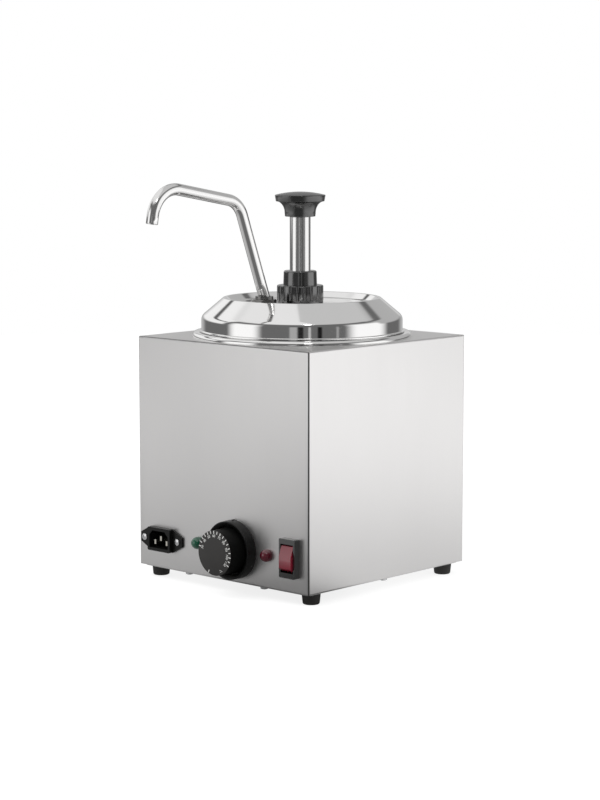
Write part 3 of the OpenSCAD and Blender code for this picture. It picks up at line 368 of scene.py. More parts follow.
SHEET_STEEL = Finish(
    "sheet_steel", (0.83, 0.82, 0.815), 0.36, Grain.ROLLED, metallic=1.0, shade=0.015, uneven=0.03
)
MIRROR_STEEL = Finish(
    "mirror_steel", (0.86, 0.855, 0.85), 0.07, Grain.SPUN, metallic=1.0, shade=0.01, uneven=0.015
)
TUBE_STEEL = Finish(
    "tube_steel", (0.84, 0.835, 0.83), 0.12, Grain.DRAWN, metallic=1.0, shade=0.01, uneven=0.02
)
PLAIN_STEEL = Finish("plain_steel", (0.66, 0.66, 0.66), 0.34, Grain.DRAWN, metallic=1.0, shade=0.03)
CAST_STEEL = Finish("valve_steel", (0.56, 0.56, 0.57), 0.42, Grain.MOULDED, metallic=1.0)
BRIGHT_STEEL = Finish(
    "turned_steel", (0.80, 0.80, 0.81), 0.18, Grain.DRAWN, metallic=1.0, shade=0.02, uneven=0.03
)
NUT_STEEL = Finish("nut_steel", (0.24, 0.235, 0.23), 0.28, Grain.MOULDED, metallic=1.0)
GLOSS_BLACK = Finish(
    "gloss_black", (0.003, 0.003, 0.0028), 0.14, Grain.MOULDED, shade=0.1, uneven=0.02, ior=2.4
)
KNOB_BLACK = Finish("knob_black", (0.004, 0.004, 0.0038), 0.21, Grain.MOULDED, shade=0.1, ior=2.1)
PANEL_BLACK = Finish("panel_black", (0.006, 0.006, 0.0058), 0.34, Grain.MOULDED, shade=0.1, specular=0.3)
DIAL_BLACK = Finish("dial_black", (0.004, 0.004, 0.0038), 0.45, Grain.MOULDED, shade=0.1, specular=0.12)
DIAL_FACE = Finish("dial_face", (0.040, 0.038, 0.037), 0.45, Grain.MOULDED, shade=0.06, specular=0.3)
PRINT_WHITE = Finish("print_white", (0.78, 0.78, 0.76), 0.5, Grain.MOULDED, shade=0.03)
ROCKER_RED = Finish(
    "rocker_gloss", (0.22, 0.012, 0.028), 0.12, Grain.MOULDED,
    coat=0.5, see_through=0.2, shade=0.1, uneven=0.02, ior=1.7
)
LENS_GREEN = Finish(
    "green_glass", (0.002, 0.10, 0.050), 0.10, Grain.MOULDED,
    coat=0.8, see_through=0.2, shade=0.1, uneven=0.02, ior=1.6
)
LENS_RED = Finish(
    "red_glass", (0.10, 0.001, 0.012), 0.10, Grain.MOULDED,
    coat=0.8, see_through=0.2, shade=0.1, uneven=0.02, ior=1.6
)
RUBBER = Finish("foot_rubber", (0.022, 0.021, 0.020), 0.62, Grain.MOULDED, shade=0.1)
SILICONE = Finish("soft_silicone", (0.80, 0.79, 0.77), 0.5, Grain.MOULDED)
SEAL_RUBBER = Finish("gasket_rubber", (0.12, 0.12, 0.125), 0.55, Grain.MOULDED)
WHITE_PLASTIC = Finish("white_plastic", (0.80, 0.80, 0.77), 0.4, Grain.MOULDED, shade=0.03)
RESIN = Finish("thermostat_resin", (0.55, 0.44, 0.29), 0.5, Grain.MOULDED)
PIN_PLATE = Finish("pin_plate", (0.83, 0.80, 0.72), 0.22, Grain.DRAWN, metallic=1.0, shade=0.02)
COPPER = Finish("capillary_copper", (0.78, 0.45, 0.30), 0.3, Grain.DRAWN, metallic=1.0)
HEATER_SHEATH = Finish("heater_scale", (0.20, 0.19, 0.18), 0.55, Grain.MOULDED, metallic=0.8)
WOOL = Finish("wool_batt", (0.72, 0.64, 0.38), 0.95, Grain.WOOL, shade=0.2, uneven=0.02)
WIRE_BROWN = Finish("wire_brown", (0.16, 0.06, 0.025), 0.4, Grain.MOULDED)
WIRE_BLUE = Finish("wire_blue", (0.02, 0.08, 0.35), 0.4, Grain.MOULDED)
WIRE_GREEN = Finish("wire_green_yellow", (0.30, 0.42, 0.03), 0.4, Grain.MOULDED)
WIRE_WHITE = Finish("wire_white", (0.75, 0.72, 0.62), 0.4, Grain.MOULDED)


# Modelling


def take(piece: bpy.types.Object) -> None:
    """Makes a piece the only selected and the active object."""
    bpy.ops.object.select_all(action="DESELECT")
    piece.select_set(True)
    bpy.context.view_layer.objects.active = piece


def dress(piece: bpy.types.Object, finish: Finish) -> None:
    """Gives a piece one finish all over."""
    piece.data.materials.clear()
    piece.data.materials.append(finish.make())


def soften(piece: bpy.types.Object, angle: float = SMOOTH_ANGLE) -> None:
    """Shades a piece smooth up to an angle between faces."""
    take(piece)
    bpy.ops.object.shade_smooth_by_angle(angle=angle)


def apply_all(piece: bpy.types.Object) -> None:
    """Applies a piece's modifiers in order."""
    take(piece)
    for modifier in list(piece.modifiers):
        bpy.ops.object.modifier_apply(modifier=modifier.name)


def rounded(path: Path, steps: int = 8) -> list[tuple[float, float]]:
    """Rounds the corners of a path.

    Args:
        path: Points as (radius, height, corner radius), in millimetres.
        steps: Straight steps in each rounded corner.

    Returns:
        The points as (radius, height), in millimetres.
    """
    points: list[tuple[float, float]] = []
    for index, (x, z, r) in enumerate(path):
        here = Vector((x, z))
        if index in (0, len(path) - 1) or r <= 0:
            points.append((x, z))
            continue
        back = (Vector(path[index - 1][:2]) - here).normalized()
        ahead = (Vector(path[index + 1][:2]) - here).normalized()
        half = back.angle(ahead) / 2
        centre = here + (back + ahead).normalized() * r / math.sin(half)
        start = here + back * r / math.tan(half) - centre
        end = here + ahead * r / math.tan(half) - centre
        sweep = math.pi - 2 * half
        for step in range(steps + 1):
            t = step / steps
            spot = centre + (start * math.sin((1 - t) * sweep) + end * math.sin(t * sweep)) / math.sin(sweep)
            points.append((spot.x, spot.y))
    return points


class Draft:
    """A piece while it is modelled by hand, in edit mode."""

    def __init__(self, name: str) -> None:
        """Starts a piece from one loose vertex at the origin.

        Args:
            name: The piece's name.
        """
        bpy.ops.object.select_all(action="DESELECT")
        bpy.ops.mesh.primitive_plane_add(size=MM, enter_editmode=True, location=(0.0, 0.0, 0.0))
        self.piece = bpy.context.object
        self.piece.name = name
        self.piece.data.name = name
        bpy.ops.mesh.select_all(action="SELECT")
        bpy.ops.mesh.merge(type="CENTER")

    def open_ring(self, radius: float, centre: Vector, sides: int) -> None:
        """Starts again from an upright ring instead of one vertex.

        Args:
            radius: In metres.
            centre: Middle of the ring.
            sides: Its sides.
        """
        bpy.ops.mesh.select_all(action="SELECT")
        bpy.ops.mesh.delete(type="VERT")
        bpy.ops.mesh.primitive_circle_add(vertices=sides, radius=radius, location=centre)

    def move(self, step: Vector) -> None:
        """Moves what is selected."""
        bpy.ops.transform.translate(value=step)

    def draw(self, points: Sequence[Vector]) -> None:
        """Moves the vertex to the first point and extrudes it through the others."""
        self.move(points[0])
        for before, after in zip(points, points[1:]):
            bpy.ops.mesh.extrude_vertices_move(TRANSFORM_OT_translate={"value": after - before})

    def extrude(self, step: Vector) -> None:
        """Extrudes the selected edges and moves them."""
        bpy.ops.mesh.extrude_edges_move(TRANSFORM_OT_translate={"value": step})

    def spin(self, centre: Vector, axis: Vector, angle: float, steps: int) -> None:
        """Spins what is selected round an axis.

        Args:
            centre: A point of the axis.
            axis: Its direction.
            angle: In degrees, anticlockwise as seen against the axis.
            steps: Steps of the spin.
        """
        bpy.ops.mesh.spin(steps=steps, angle=-math.radians(angle), center=centre, axis=axis)

    def close(self, angle: float = SMOOTH_ANGLE) -> bpy.types.Object:
        """Merges doubles, turns the faces outwards and leaves edit mode.

        Args:
            angle: Edges sharper than this stay sharp.

        Returns:
            The piece.
        """
        bpy.ops.mesh.select_all(action="SELECT")
        bpy.ops.mesh.remove_doubles(threshold=2e-6)
        bpy.ops.mesh.normals_make_consistent(inside=False)
        bpy.ops.object.mode_set(mode="OBJECT")
        soften(self.piece, angle)
        return self.piece


def turned(
    name: str, path: Path, centre: Vector, axis: Vector = UP, steps: int = 128, corner: int = 8
) -> bpy.types.Object:
    """Models a turned piece by spinning its outline.

    Args:
        name: The piece's name.
        path: Outline as (radius, distance along the axis, corner radius), in millimetres.
        centre: Where the outline's zero lies, in metres.
        axis: Direction of the axis.
        steps: Steps round the piece.
        corner: Steps in each rounded corner.

    Returns:
        The piece.
    """
    out = RIGHT if abs(axis.x) < 0.5 else UP
    draft = Draft(name)
    draft.draw([centre + (out * r + axis * z) * MM for r, z in rounded(path, corner)])
    bpy.ops.mesh.select_all(action="SELECT")
    draft.spin(centre, axis, 360.0, steps)
    return draft.close()


def thicken(piece: bpy.types.Object, wall: float, outwards: bool = False) -> None:
    """Gives a sheet its wall.

    Args:
        piece: The sheet, its faces turned outwards.
        wall: In millimetres.
        outwards: True to build the wall on the outside.
    """
    solid = piece.modifiers.new("wall", "SOLIDIFY")
    solid.thickness = wall * MM
    solid.offset = 1.0 if outwards else -1.0
    solid.use_even_offset = True
    apply_all(piece)


def drill(piece: bpy.types.Object, centre: Vector, radius: float, depth: float, axis: Vector = UP) -> None:
    """Cuts a round hole.

    Args:
        piece: What is drilled.
        centre: Middle of the hole, in metres.
        radius: In millimetres.
        depth: Whole length of the cutter, in millimetres.
        axis: Direction of the hole.
    """
    bpy.ops.object.select_all(action="DESELECT")
    turn = UP.rotation_difference(axis).to_euler()
    bpy.ops.mesh.primitive_cylinder_add(
        vertices=64, radius=radius * MM, depth=depth * MM, location=centre, rotation=turn
    )
    cutter = bpy.context.object
    cut = piece.modifiers.new("hole", "BOOLEAN")
    cut.operation = "DIFFERENCE"
    cut.solver = "EXACT"
    cut.object = cutter
    apply_all(piece)
    bpy.data.objects.remove(cutter)
    soften(piece)


def joined(name: str, pieces: Sequence[bpy.types.Object]) -> bpy.types.Object:
    """Joins pieces into one, under a name."""
    take(pieces[0])
    for piece in pieces:
        piece.select_set(True)
    if len(pieces) > 1:
        bpy.ops.object.join()
    result = bpy.context.object
    result.name = name
    result.data.name = name
    return result


def settle(piece: bpy.types.Object) -> None:
    """Moves a piece's place into its mesh."""
    take(piece)
    bpy.ops.object.transform_apply(location=True, rotation=True, scale=True)


@dataclass
class Frame:
    """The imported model: its nodes, and the ways to dress and replace them."""

    nodes: dict[str, bpy.types.Object]

    def polish(self, finish: Finish, *names: str, angle: float = SMOOTH_ANGLE) -> None:
        """Dresses nodes that keep their own shape.

        Args:
            finish: Their finish.
            *names: The nodes.
            angle: Edges sharper than this stay sharp.
        """
        for name in names:
            node = self.nodes[name]
            weld = node.modifiers.new("weld", "WELD")
            weld.merge_threshold = 1e-6
            dress(node, finish)
            for polygon in node.data.polygons:
                polygon.use_smooth = True
            self.sharpen(node, angle)
            log.info("dressed %s in %s", name, finish.name)

    @staticmethod
    def sharpen(node: bpy.types.Object, angle: float) -> None:
        """Keeps a node's hard edges hard, after its loose triangles are welded."""
        split = node.modifiers.new("hard_edges", "EDGE_SPLIT")
        split.split_angle = angle
        split.use_edge_angle = True
        split.use_edge_sharp = False

    def stand_in(self, piece: bpy.types.Object, node: str, body: str, finish: Finish, slot: str) -> None:
        """Puts a modelled piece in the place of a node.

        Args:
            piece: The modelled piece.
            node: The node it replaces.
            body: The body it rides on.
            finish: Its finish.
            slot: Not used.
        """
        dress(piece, finish)
        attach(piece, body)
        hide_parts(node)
        log.info("modelled %s for %s on %s", piece.name, node, body)

    def add_on(self, piece: bpy.types.Object, body: str, finish: Finish, slot: str) -> None:
        """Adds a modelled piece that no node stands for."""
        dress(piece, finish)
        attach(piece, body)
        log.info("added %s on %s", piece.name, body)


# Sub-assemblies


@dataclass
class Housing:
    """The folded housing, its base plate, screws and feet."""

    frame: Frame
    foot_radius: float = 8.0
    foot_tip: float = 7.0
    foot_round: float = 1.4
    # Painted reflection on the folds: band widths in millimetres, and the dark grey tone painted into the
    # base colour.
    fold_reflection_width: float = 1.5
    fold_reflection_inner: float = 0.35
    top_fold_reflection: tuple[float, float] = (0.8, 0.2)
    fold_reflection_tone: float = 0.12
    screw_recess: float = 4.4
    recess_depth: float = 5.06

    def build(self) -> None:
        """Dresses the sheet metal and models the feet."""
        self.frame.polish(SHEET_STEEL, "housing_shell")
        self.paint_fold_reflections()
        self.frame.polish(PLAIN_STEEL, "base_plate")
        self.frame.polish(BRIGHT_STEEL, "base_screws", "foot_screws", "earth_stud")
        for node in ("foot_front_left", "foot_front_right", "foot_rear_left", "foot_rear_right"):
            self.foot(node)

    def paint_fold_reflections(self) -> None:
        """Paints dark reflections into the base colour along the upright bends and the front and rear top
        edges, standing in for the dark studio that the rounded folds mirror.
        """
        low, high = (Vector(c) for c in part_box("housing_shell"))
        material = SHEET_STEEL.make()
        web = Web(material.node_tree)
        shader = web.tree.nodes["Principled BSDF"]
        parts = web.add("ShaderNodeSeparateXYZ")
        web.join(web.add("ShaderNodeTexCoord").outputs["Object"], parts.inputs[0])
        near = []
        for name, size in (("X", high.x), ("Y", high.y)):
            flat = web.add("ShaderNodeMath", operation="ABSOLUTE")
            web.join(parts.outputs[name], flat.inputs[0])
            outer, inner = (size - self.fold_reflection_width * share * MM for share in (1.0, self.fold_reflection_inner))
            near.append(web.ease(flat.outputs[0], outer, inner))
        start, end = (high.z - self.fold_reflection_width * share * MM for share in self.top_fold_reflection)
        top = web.ease(parts.outputs["Z"], start, end)
        upright, across = web.times(near[0], near[1]), web.times(near[1], top)
        fold_reflection_mask = web.add("ShaderNodeMath", operation="MAXIMUM")
        web.join(upright, fold_reflection_mask.inputs[0])
        web.join(across, fold_reflection_mask.inputs[1])
        mix = web.add("ShaderNodeMix", data_type="RGBA")
        plain = shader.inputs["Base Color"].links[0].from_socket
        web.join(fold_reflection_mask.outputs[0], mix.inputs["Factor"])
        web.join(plain, mix.inputs[6])
        # Painted reflection: the fold bands get a dark grey base colour in place of the dark surroundings
        # that the bends mirror.
        mix.inputs[7].default_value = (self.fold_reflection_tone, self.fold_reflection_tone, self.fold_reflection_tone, 1.0)
        web.join(mix.outputs[2], shader.inputs["Base Color"])

    def foot(self, node: str) -> None:
        """Models one rubber foot."""
        low, high = (Vector(c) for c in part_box(node))
        height = (high.z - low.z) / MM
        centre = Vector(((low.x + high.x) / 2, (low.y + high.y) / 2, low.z))
        piece = turned(
            node + "_rubber",
            [
                (2.1, height, 0), (self.foot_radius, height, 0.5), (self.foot_tip, 0, self.foot_round),
                (self.screw_recess, 0, 0.4), (self.screw_recess, self.recess_depth, 0),
                (2.1, self.recess_depth, 0), (2.1, height, 0),
            ],
            centre, steps=64,
        )
        self.frame.stand_in(piece, node, "root", RUBBER, "black_rubber")


@dataclass
class Bath:
    """The water bath with its insulation and heater."""

    frame: Frame

    def build(self) -> None:
        """Dresses the bath and what hangs under it."""
        self.frame.polish(PLAIN_STEEL, "bath_well", "heater_clamp", "bulb_clip", "lamp_clips")
        self.frame.polish(WOOL, "insulation_jacket")
        self.frame.polish(HEATER_SHEATH, "heating_element")
        self.frame.polish(BRIGHT_STEEL, "clamp_nut", "thermostat_screws")
        self.frame.polish(COPPER, "capillary_tube", "sensing_bulb")
        self.frame.polish(RESIN, "thermal_cutout", "thermostat_body")


@dataclass
class Pot:
    """The lift-out pot with its rolled rim."""

    frame: Frame
    wall: float = 0.8
    inside: float = 75.5
    corner: float = 14.0
    lip: float = 2.4
    rim: float = 95.0
    rim_round: float = 3.2
    bead: float = 83.3
    bead_rise: float = 1.5
    bead_foot: float = 2.2

    def build(self) -> None:
        """Models the pot as a spun sheet."""
        low, high = (Vector(c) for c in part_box("food_pot"))
        floor = self.wall
        seat = (high.z - low.z) / MM - self.bead_rise
        drop = 4.0
        piece = turned(
            "pot_bowl",
            [
                (0, floor, 0), (self.inside, floor, self.corner), (self.inside, seat, self.lip),
                (self.bead - self.bead_foot, seat, 1), (self.bead, seat + self.bead_rise, 1),
                (self.bead + self.bead_foot, seat, 1), (self.rim, seat, self.rim_round),
                (self.rim, seat - drop, 0),
            ],
            Vector((0, 0, low.z)), steps=192,
        )
        face_up(piece)
        thicken(piece, self.wall)
        soften(piece)
        self.frame.stand_in(piece, "food_pot", "pot", MIRROR_STEEL, "drawn_steel")


def face_up(piece: bpy.types.Object) -> None:
    """Turns an open sheet's faces so that those round its middle look up."""
    inner = min(piece.data.polygons, key=lambda p: p.center.xy.length)
    if inner.normal.z < 0:
        take(piece)
        bpy.ops.object.mode_set(mode="EDIT")
        bpy.ops.mesh.select_all(action="SELECT")
        bpy.ops.mesh.flip_normals()
        bpy.ops.object.mode_set(mode="OBJECT")


@dataclass
class Lid:
    """The mirror lid."""

    frame: Frame
    wall: float = 1.0
    dish: float = 24.0
    crest: float = 29.0
    crest_radius: float = 68.0
    shoulder: float = 13.0
    shoulder_round: float = 7.0
    radius: float = 87.0
    foot: float = 1.8
    pump_hole: float = 14.8
    spout_hole: float = 6.2
    pump_y: float = -2.3
    spout_y: float = -47.0

    def build(self) -> None:
        """Models the lid as a spun sheet with two holes."""
        low, _ = (Vector(c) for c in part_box("lid"))
        middle = Vector((0, 0, low.z))
        piece = turned(
            "lid_shell",
            [
                (0, self.dish, 0), (self.crest_radius - 8, self.dish, 4),
                (self.crest_radius - 2.6, self.crest, 1.6),
                (self.crest_radius, self.crest, 1.6), (self.radius, self.shoulder, self.shoulder_round),
                (self.radius, self.wall, 0.8), (self.radius + self.foot, self.wall, 0),
            ],
            middle, steps=256, corner=12,
        )
        face_up(piece)
        thicken(piece, self.wall)
        for y, radius in ((self.pump_y, self.pump_hole), (self.spout_y, self.spout_hole)):
            drill(piece, middle + Vector((0, y, self.dish)) * MM, radius, 6.0)
        soften(piece)
        self.frame.stand_in(piece, "lid", "lid", MIRROR_STEEL, "polished_steel")


@dataclass
class Pump:
    """The plunger pump: knob, plunger, sleeve, collar nut and what hangs in the pot."""

    frame: Frame
    wire: float = 1.4
    wire_sides: int = 10
    turns: int = 8
    turn_steps: int = 28
    stroke: float = 42.0
    rest_gap: float = 0.2
    y: float = -2.3

    def build(self) -> None:
        """Models what shows above the lid and dresses the rest."""
        self.knob()
        self.plunger()
        self.sleeve()
        self.frame.polish(GLOSS_BLACK, "collar_nut", angle=math.radians(24))
        self.frame.polish(PLAIN_STEEL, "pump_cylinder", "riser_tube", "outlet_fitting")
        self.frame.polish(CAST_STEEL, "valve_body", "inlet_cage")
        self.frame.polish(
            BRIGHT_STEEL, "tie_rod", "piston_nut", "inlet_ball", "outlet_ball"
        )
        self.frame.polish(SILICONE, "sleeve_gasket", "outlet_gasket")
        self.frame.polish(SEAL_RUBBER, "piston_seal")
        self.frame.polish(WHITE_PLASTIC, "piston")
        self.spring()

    def spring(self) -> None:
        """Models the return spring as a fixed coil; in the real pump the piston presses it flat as the
        plunger goes down.
        """
        low, high = (Vector(c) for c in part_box("return_spring"))
        left, right = (Vector(c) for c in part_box("plunger_tube"))
        wire = self.wire * MM
        bpy.ops.object.select_all(action="DESELECT")
        bpy.ops.mesh.primitive_circle_add(
            vertices=self.wire_sides,
            radius=wire / 2,
            location=((high.x - low.x) / 2 - wire / 2, 0.0, 0.0),
            rotation=(math.pi / 2, 0.0, 0.0),
        )
        piece = bpy.context.object
        piece.name = "return_spring_wire"
        settle(piece)
        coil = piece.modifiers.new("coil", "SCREW")
        coil.axis = "Z"
        coil.iterations = self.turns
        coil.steps = self.turn_steps
        coil.render_steps = self.turn_steps
        coil.screw_offset = (high.z - low.z - wire) / self.turns
        coil.use_smooth_shade = True
        coil.use_merge_vertices = True
        coil.merge_threshold = 1e-6
        apply_all(piece)
        take(piece)
        bpy.ops.object.mode_set(mode="EDIT")
        bpy.ops.mesh.select_all(action="SELECT")
        bpy.ops.mesh.fill_holes(sides=self.wire_sides)
        bpy.ops.mesh.normals_make_consistent(inside=False)
        bpy.ops.object.mode_set(mode="OBJECT")
        piece.location = ((left.x + right.x) / 2, (left.y + right.y) / 2, low.z + wire / 2)
        settle(piece)
        self.frame.stand_in(piece, "return_spring", "lid", BRIGHT_STEEL, "bright_steel")
        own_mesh(piece)

    def foot_of(self, node: str) -> tuple[Vector, float]:
        """Gives the middle of a node's lower end and its height in millimetres."""
        low, high = (Vector(c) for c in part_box(node))
        return Vector((0, self.y * MM, low.z)), (high.z - low.z) / MM

    def knob(self) -> None:
        """Models the mushroom knob."""
        foot, height = self.foot_of("pump_knob")
        rim, neck, crown, edge = 21.9, 13.4, 2.6, 5.6
        top = height - crown
        flare = rim - 1 - neck
        tall = 1.3 * flare
        outline = [(0, 0, 0), (neck - 0.3, 0, 0.6), (neck, top - edge - tall, 0)]
        for step in range(1, 10):
            a = math.radians(9 * step)
            outline.append((neck + flare * (1 - math.cos(a)), top - edge - tall * (1 - math.sin(a)), 0))
        outline += [(rim - 1, top - edge, 0.5), (rim, top, 0.7)]
        span = rim - 0.8
        ball = (span**2 + crown**2) / (2 * crown)
        for step in range(10, -1, -1):
            a = math.asin(span / ball) * step / 10
            outline.append((ball * math.sin(a), top + crown - ball * (1 - math.cos(a)), 0))
        piece = turned("knob_mushroom", outline, foot, steps=128, corner=5)
        soften(piece, math.radians(40))
        self.frame.stand_in(piece, "pump_knob", "plunger", KNOB_BLACK, "black_plastic")

    def plunger(self) -> None:
        """Models the polished plunger tube with its stop collar."""
        foot, height = self.foot_of("plunger_tube")
        outer, bore, stop, stop_low, stop_high = 9.0, 7.8, 12.1, 42.1, 46.1
        piece = turned(
            "plunger_sleeve",
            [
                (bore, 0, 0), (outer, 0, 0.2), (outer, stop_low, 0), (stop, stop_low, 0.3),
                (stop, stop_high, 0.3),
                (outer, stop_high, 0), (outer, height, 0.2), (bore, height, 0), (bore, 0, 0),
            ],
            foot, steps=96, corner=3,
        )
        self.frame.stand_in(piece, "plunger_tube", "plunger", TUBE_STEEL, "polished_steel")

    def sleeve(self) -> None:
        """Models the guide sleeve."""
        foot, height = self.foot_of("guide_sleeve")
        outer, bore, flange, spigot, long, thick = 14.6, 9.08, 19.0, 12.45, 10.0, 3.0
        piece = turned(
            "guide_sleeve_moulding",
            [
                (bore, 0, 0), (spigot, 0, 0.3), (spigot, long, 0), (flange, long, 0.4),
                (flange, long + thick, 0.4),
                (outer, long + thick, 0), (outer, height - 12.4, 0), (outer - 0.4, height, 1.4),
                (bore, height, 0.7),
                (bore, 0, 0),
            ],
            foot, steps=96, corner=6,
        )
        self.frame.stand_in(piece, "guide_sleeve", "lid", GLOSS_BLACK, "black_plastic")


@dataclass
class Spout:
    """The bent spout and its nut."""

    frame: Frame
    radius: float = 4.9
    wall: float = 1.1
    socket: float = 7.5
    lean: float = 20.8
    riser: float = 87.0
    rise: float = 9.8
    run: float = 95.4
    tip_lean: float = 10.0
    tip: float = 31.6
    bends: tuple[float, float, float] = (12.0, 21.0, 25.0)

    def build(self) -> None:
        """Models the tube and dresses the nut."""
        low, _ = (Vector(c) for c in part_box("spout_tube"))
        foot = Vector((0, -47.0 * MM, low.z))
        piece = self.tube(foot)
        thicken(piece, self.wall)
        self.round_mouth(piece)
        self.frame.stand_in(piece, "spout_tube", "lid", TUBE_STEEL, "polished_steel")
        self.frame.polish(NUT_STEEL, "spout_nut")

    def tube(self, foot: Vector) -> bpy.types.Object:
        """Models the tube's outside, one length and one bend after the other.

        Args:
            foot: Middle of the tube's lower end, in metres.

        Returns:
            The tube, with no wall yet.
        """
        turns = (self.lean, 90 - self.lean - self.rise, 90 + self.rise - self.tip_lean)
        leads = [bend * math.tan(math.radians(turn / 2)) for bend, turn in zip(self.bends, turns)]
        lengths = (
            self.socket - leads[0],
            self.riser - leads[0] - leads[1],
            self.run - leads[1] - leads[2],
            self.tip - leads[2],
        )
        draft = Draft("spout_pipe")
        draft.open_ring(self.radius * MM, foot, 64)
        at, heading = foot.copy(), UP.copy()
        for index, length in enumerate(lengths):
            draft.extrude(heading * length * MM)
            at += heading * length * MM
            if index == len(turns):
                break
            inwards = RIGHT.cross(heading)
            reach = self.bends[index] * MM
            centre = at + inwards * reach
            draft.spin(centre, RIGHT, turns[index], max(6, round(turns[index] / 3)))
            turn = math.radians(turns[index])
            at = centre - (inwards * math.cos(turn) - heading * math.sin(turn)) * reach
            heading = heading * math.cos(turn) + inwards * math.sin(turn)
        return draft.close()

    @staticmethod
    def round_mouth(piece: bpy.types.Object) -> None:
        """Breaks the cut edges at both ends of the tube."""
        bevel = piece.modifiers.new("ends", "BEVEL")
        bevel.width = 0.2 * MM
        bevel.segments = 2
        bevel.limit_method = "ANGLE"
        bevel.angle_limit = math.radians(60)
        apply_all(piece)
        soften(piece)


@dataclass
class Controls:
    """The panel: inlet, lamps, dial and switch."""

    frame: Frame
    face_edge: float = 0.7
    plate: float = 0.2
    plate_round: float = 0.08
    tick_inset: float = 0.2
    zero_tick: tuple[float, float] = (0.3, 2.6)
    figure_gap: float = 2.0
    unit_inset: float = 3.2
    unit_share: float = 0.9
    print_height: float = 0.08
    sweep: tuple[float, float] = (-76.0, 120.0)
    ticks: int = 17
    tick_size: tuple[float, float] = (0.75, 2.5)
    zero_mark: float = 203.0
    figures: tuple[str, ...] = ("30", "40", "50", "60", "70", "80", "90", "100", "110")
    figure_size: float = 3.3
    unit: str = "\u00b0C"
    unit_at: float = 152.0

    def build(self) -> None:
        """Dresses the controls and prints the dial."""
        self.frame.polish(GLOSS_BLACK, "switch_frame")
        self.frame.polish(PANEL_BLACK, "inlet_body", "dial_bezel")
        self.frame.polish(PIN_PLATE, "inlet_pins", "switch_terminals")
        self.frame.polish(BRIGHT_STEEL, "inlet_screws", "thermostat_shaft")
        self.frame.polish(LENS_GREEN, "power_lamp_lens")
        self.frame.polish(LENS_RED, "heat_lamp_lens")
        self.frame.polish(WHITE_PLASTIC, "lamp_bodies")
        self.frame.polish(DIAL_BLACK, "thermostat_dial")
        self.dial_print()
        self.frame.polish(ROCKER_RED, "switch_rocker")
        self.frame.polish(WIRE_BROWN, "live_wires")
        self.frame.polish(WIRE_BLUE, "neutral_wires")
        self.frame.polish(WIRE_GREEN, "earth_wire")
        self.frame.polish(WIRE_WHITE, "lamp_leads")

    def dial_print(self) -> None:
        """Models the dial's face plate, its ring of ticks and its figures."""
        low, high = (Vector(c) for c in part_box("thermostat_dial"))
        centre = Vector(((low.x + high.x) / 2, low.y, (low.z + high.z) / 2))
        radius = (high.x - low.x) / 2 / MM - self.face_edge
        outline = [(0, 0, 0), (radius, 0, 0), (radius, self.plate, self.plate_round), (0, self.plate, 0)]
        face = turned("dial_plate", outline, centre, FRONT, steps=96, corner=3)
        self.frame.add_on(face, "dial", DIAL_FACE, "dial_plastic")
        top = centre + FRONT * self.plate * MM
        width, length = self.tick_size
        first, last = self.sweep
        marks = []
        for index in range(self.ticks):
            turn = first + (last - first) * index / (self.ticks - 1)
            marks.append(self.tick(top, turn, radius - self.tick_inset, width, length))
        inset, zero_length = self.zero_tick
        marks.append(self.tick(top, self.zero_mark, radius - inset, width, zero_length))
        for index, words in enumerate(self.figures):
            turn = first + (last - first) * index / (len(self.figures) - 1)
            marks.append(self.figure(top, turn, radius - length - self.figure_gap, words, self.figure_size))
        unit_size = self.figure_size * self.unit_share
        marks.append(self.figure(top, self.unit_at, radius - self.unit_inset, self.unit, unit_size))
        self.frame.add_on(joined("dial_print", marks), "dial", PRINT_WHITE, "dial_plastic")

    def tick(self, top: Vector, turn: float, outer: float, width: float, length: float) -> bpy.types.Object:
        """Models one tick of the dial.

        Args:
            top: Middle of the face plate.
            turn: Clockwise from the top, in degrees.
            outer: Distance of its outer end from the middle, in millimetres.
            width: In millimetres.
            length: In millimetres.

        Returns:
            The tick.
        """
        angle = math.radians(turn)
        away = Vector((math.sin(angle), 0.0, math.cos(angle)))
        place = top + away * (outer - length / 2) * MM + FRONT * self.print_height / 2 * MM
        bpy.ops.object.select_all(action="DESELECT")
        size = Vector((width, self.print_height, length)) * MM
        bpy.ops.mesh.primitive_cube_add(size=1.0, location=place, rotation=(0.0, angle, 0.0), scale=size)
        piece = bpy.context.object
        settle(piece)
        return piece

    def figure(self, top: Vector, turn: float, reach: float, words: str, size: float) -> bpy.types.Object:
        """Models one figure of the dial, standing outwards.

        Args:
            top: Middle of the face plate.
            turn: Clockwise from the top, in degrees.
            reach: Distance of its middle from the middle of the plate, in millimetres.
            words: The figure.
            size: Its height, in millimetres.

        Returns:
            The figure.
        """
        angle = math.radians(turn)
        away = Vector((math.sin(angle), 0.0, math.cos(angle)))
        bpy.ops.object.select_all(action="DESELECT")
        bpy.ops.object.text_add(location=top + away * reach * MM, rotation=(math.pi / 2, angle, 0.0))
        piece = bpy.context.object
        piece.data.body = words
        piece.data.size = size * MM
        piece.data.extrude = self.print_height * MM
        piece.data.align_x = "CENTER"
        piece.data.align_y = "CENTER"
        piece.data.resolution_u = 3
        bpy.ops.object.convert(target="MESH")
        settle(piece)
        return piece


# Studio


@dataclass(frozen=True)
class Panel:
    """A lit or dark part of the studio, as polished metal shows it.

    Angles are in degrees: the bearing is measured to the right of the camera's own place.
    """

    bearing: float
    half_width: float
    low: float
    high: float
    level: float
    soft: float = 5.0


@dataclass(frozen=True)
class Glow:
    """A lit sector of the floor, as polished metal shows it, from near to far."""

    bearing: float
    half_width: float
    levels: tuple[float, float, float]


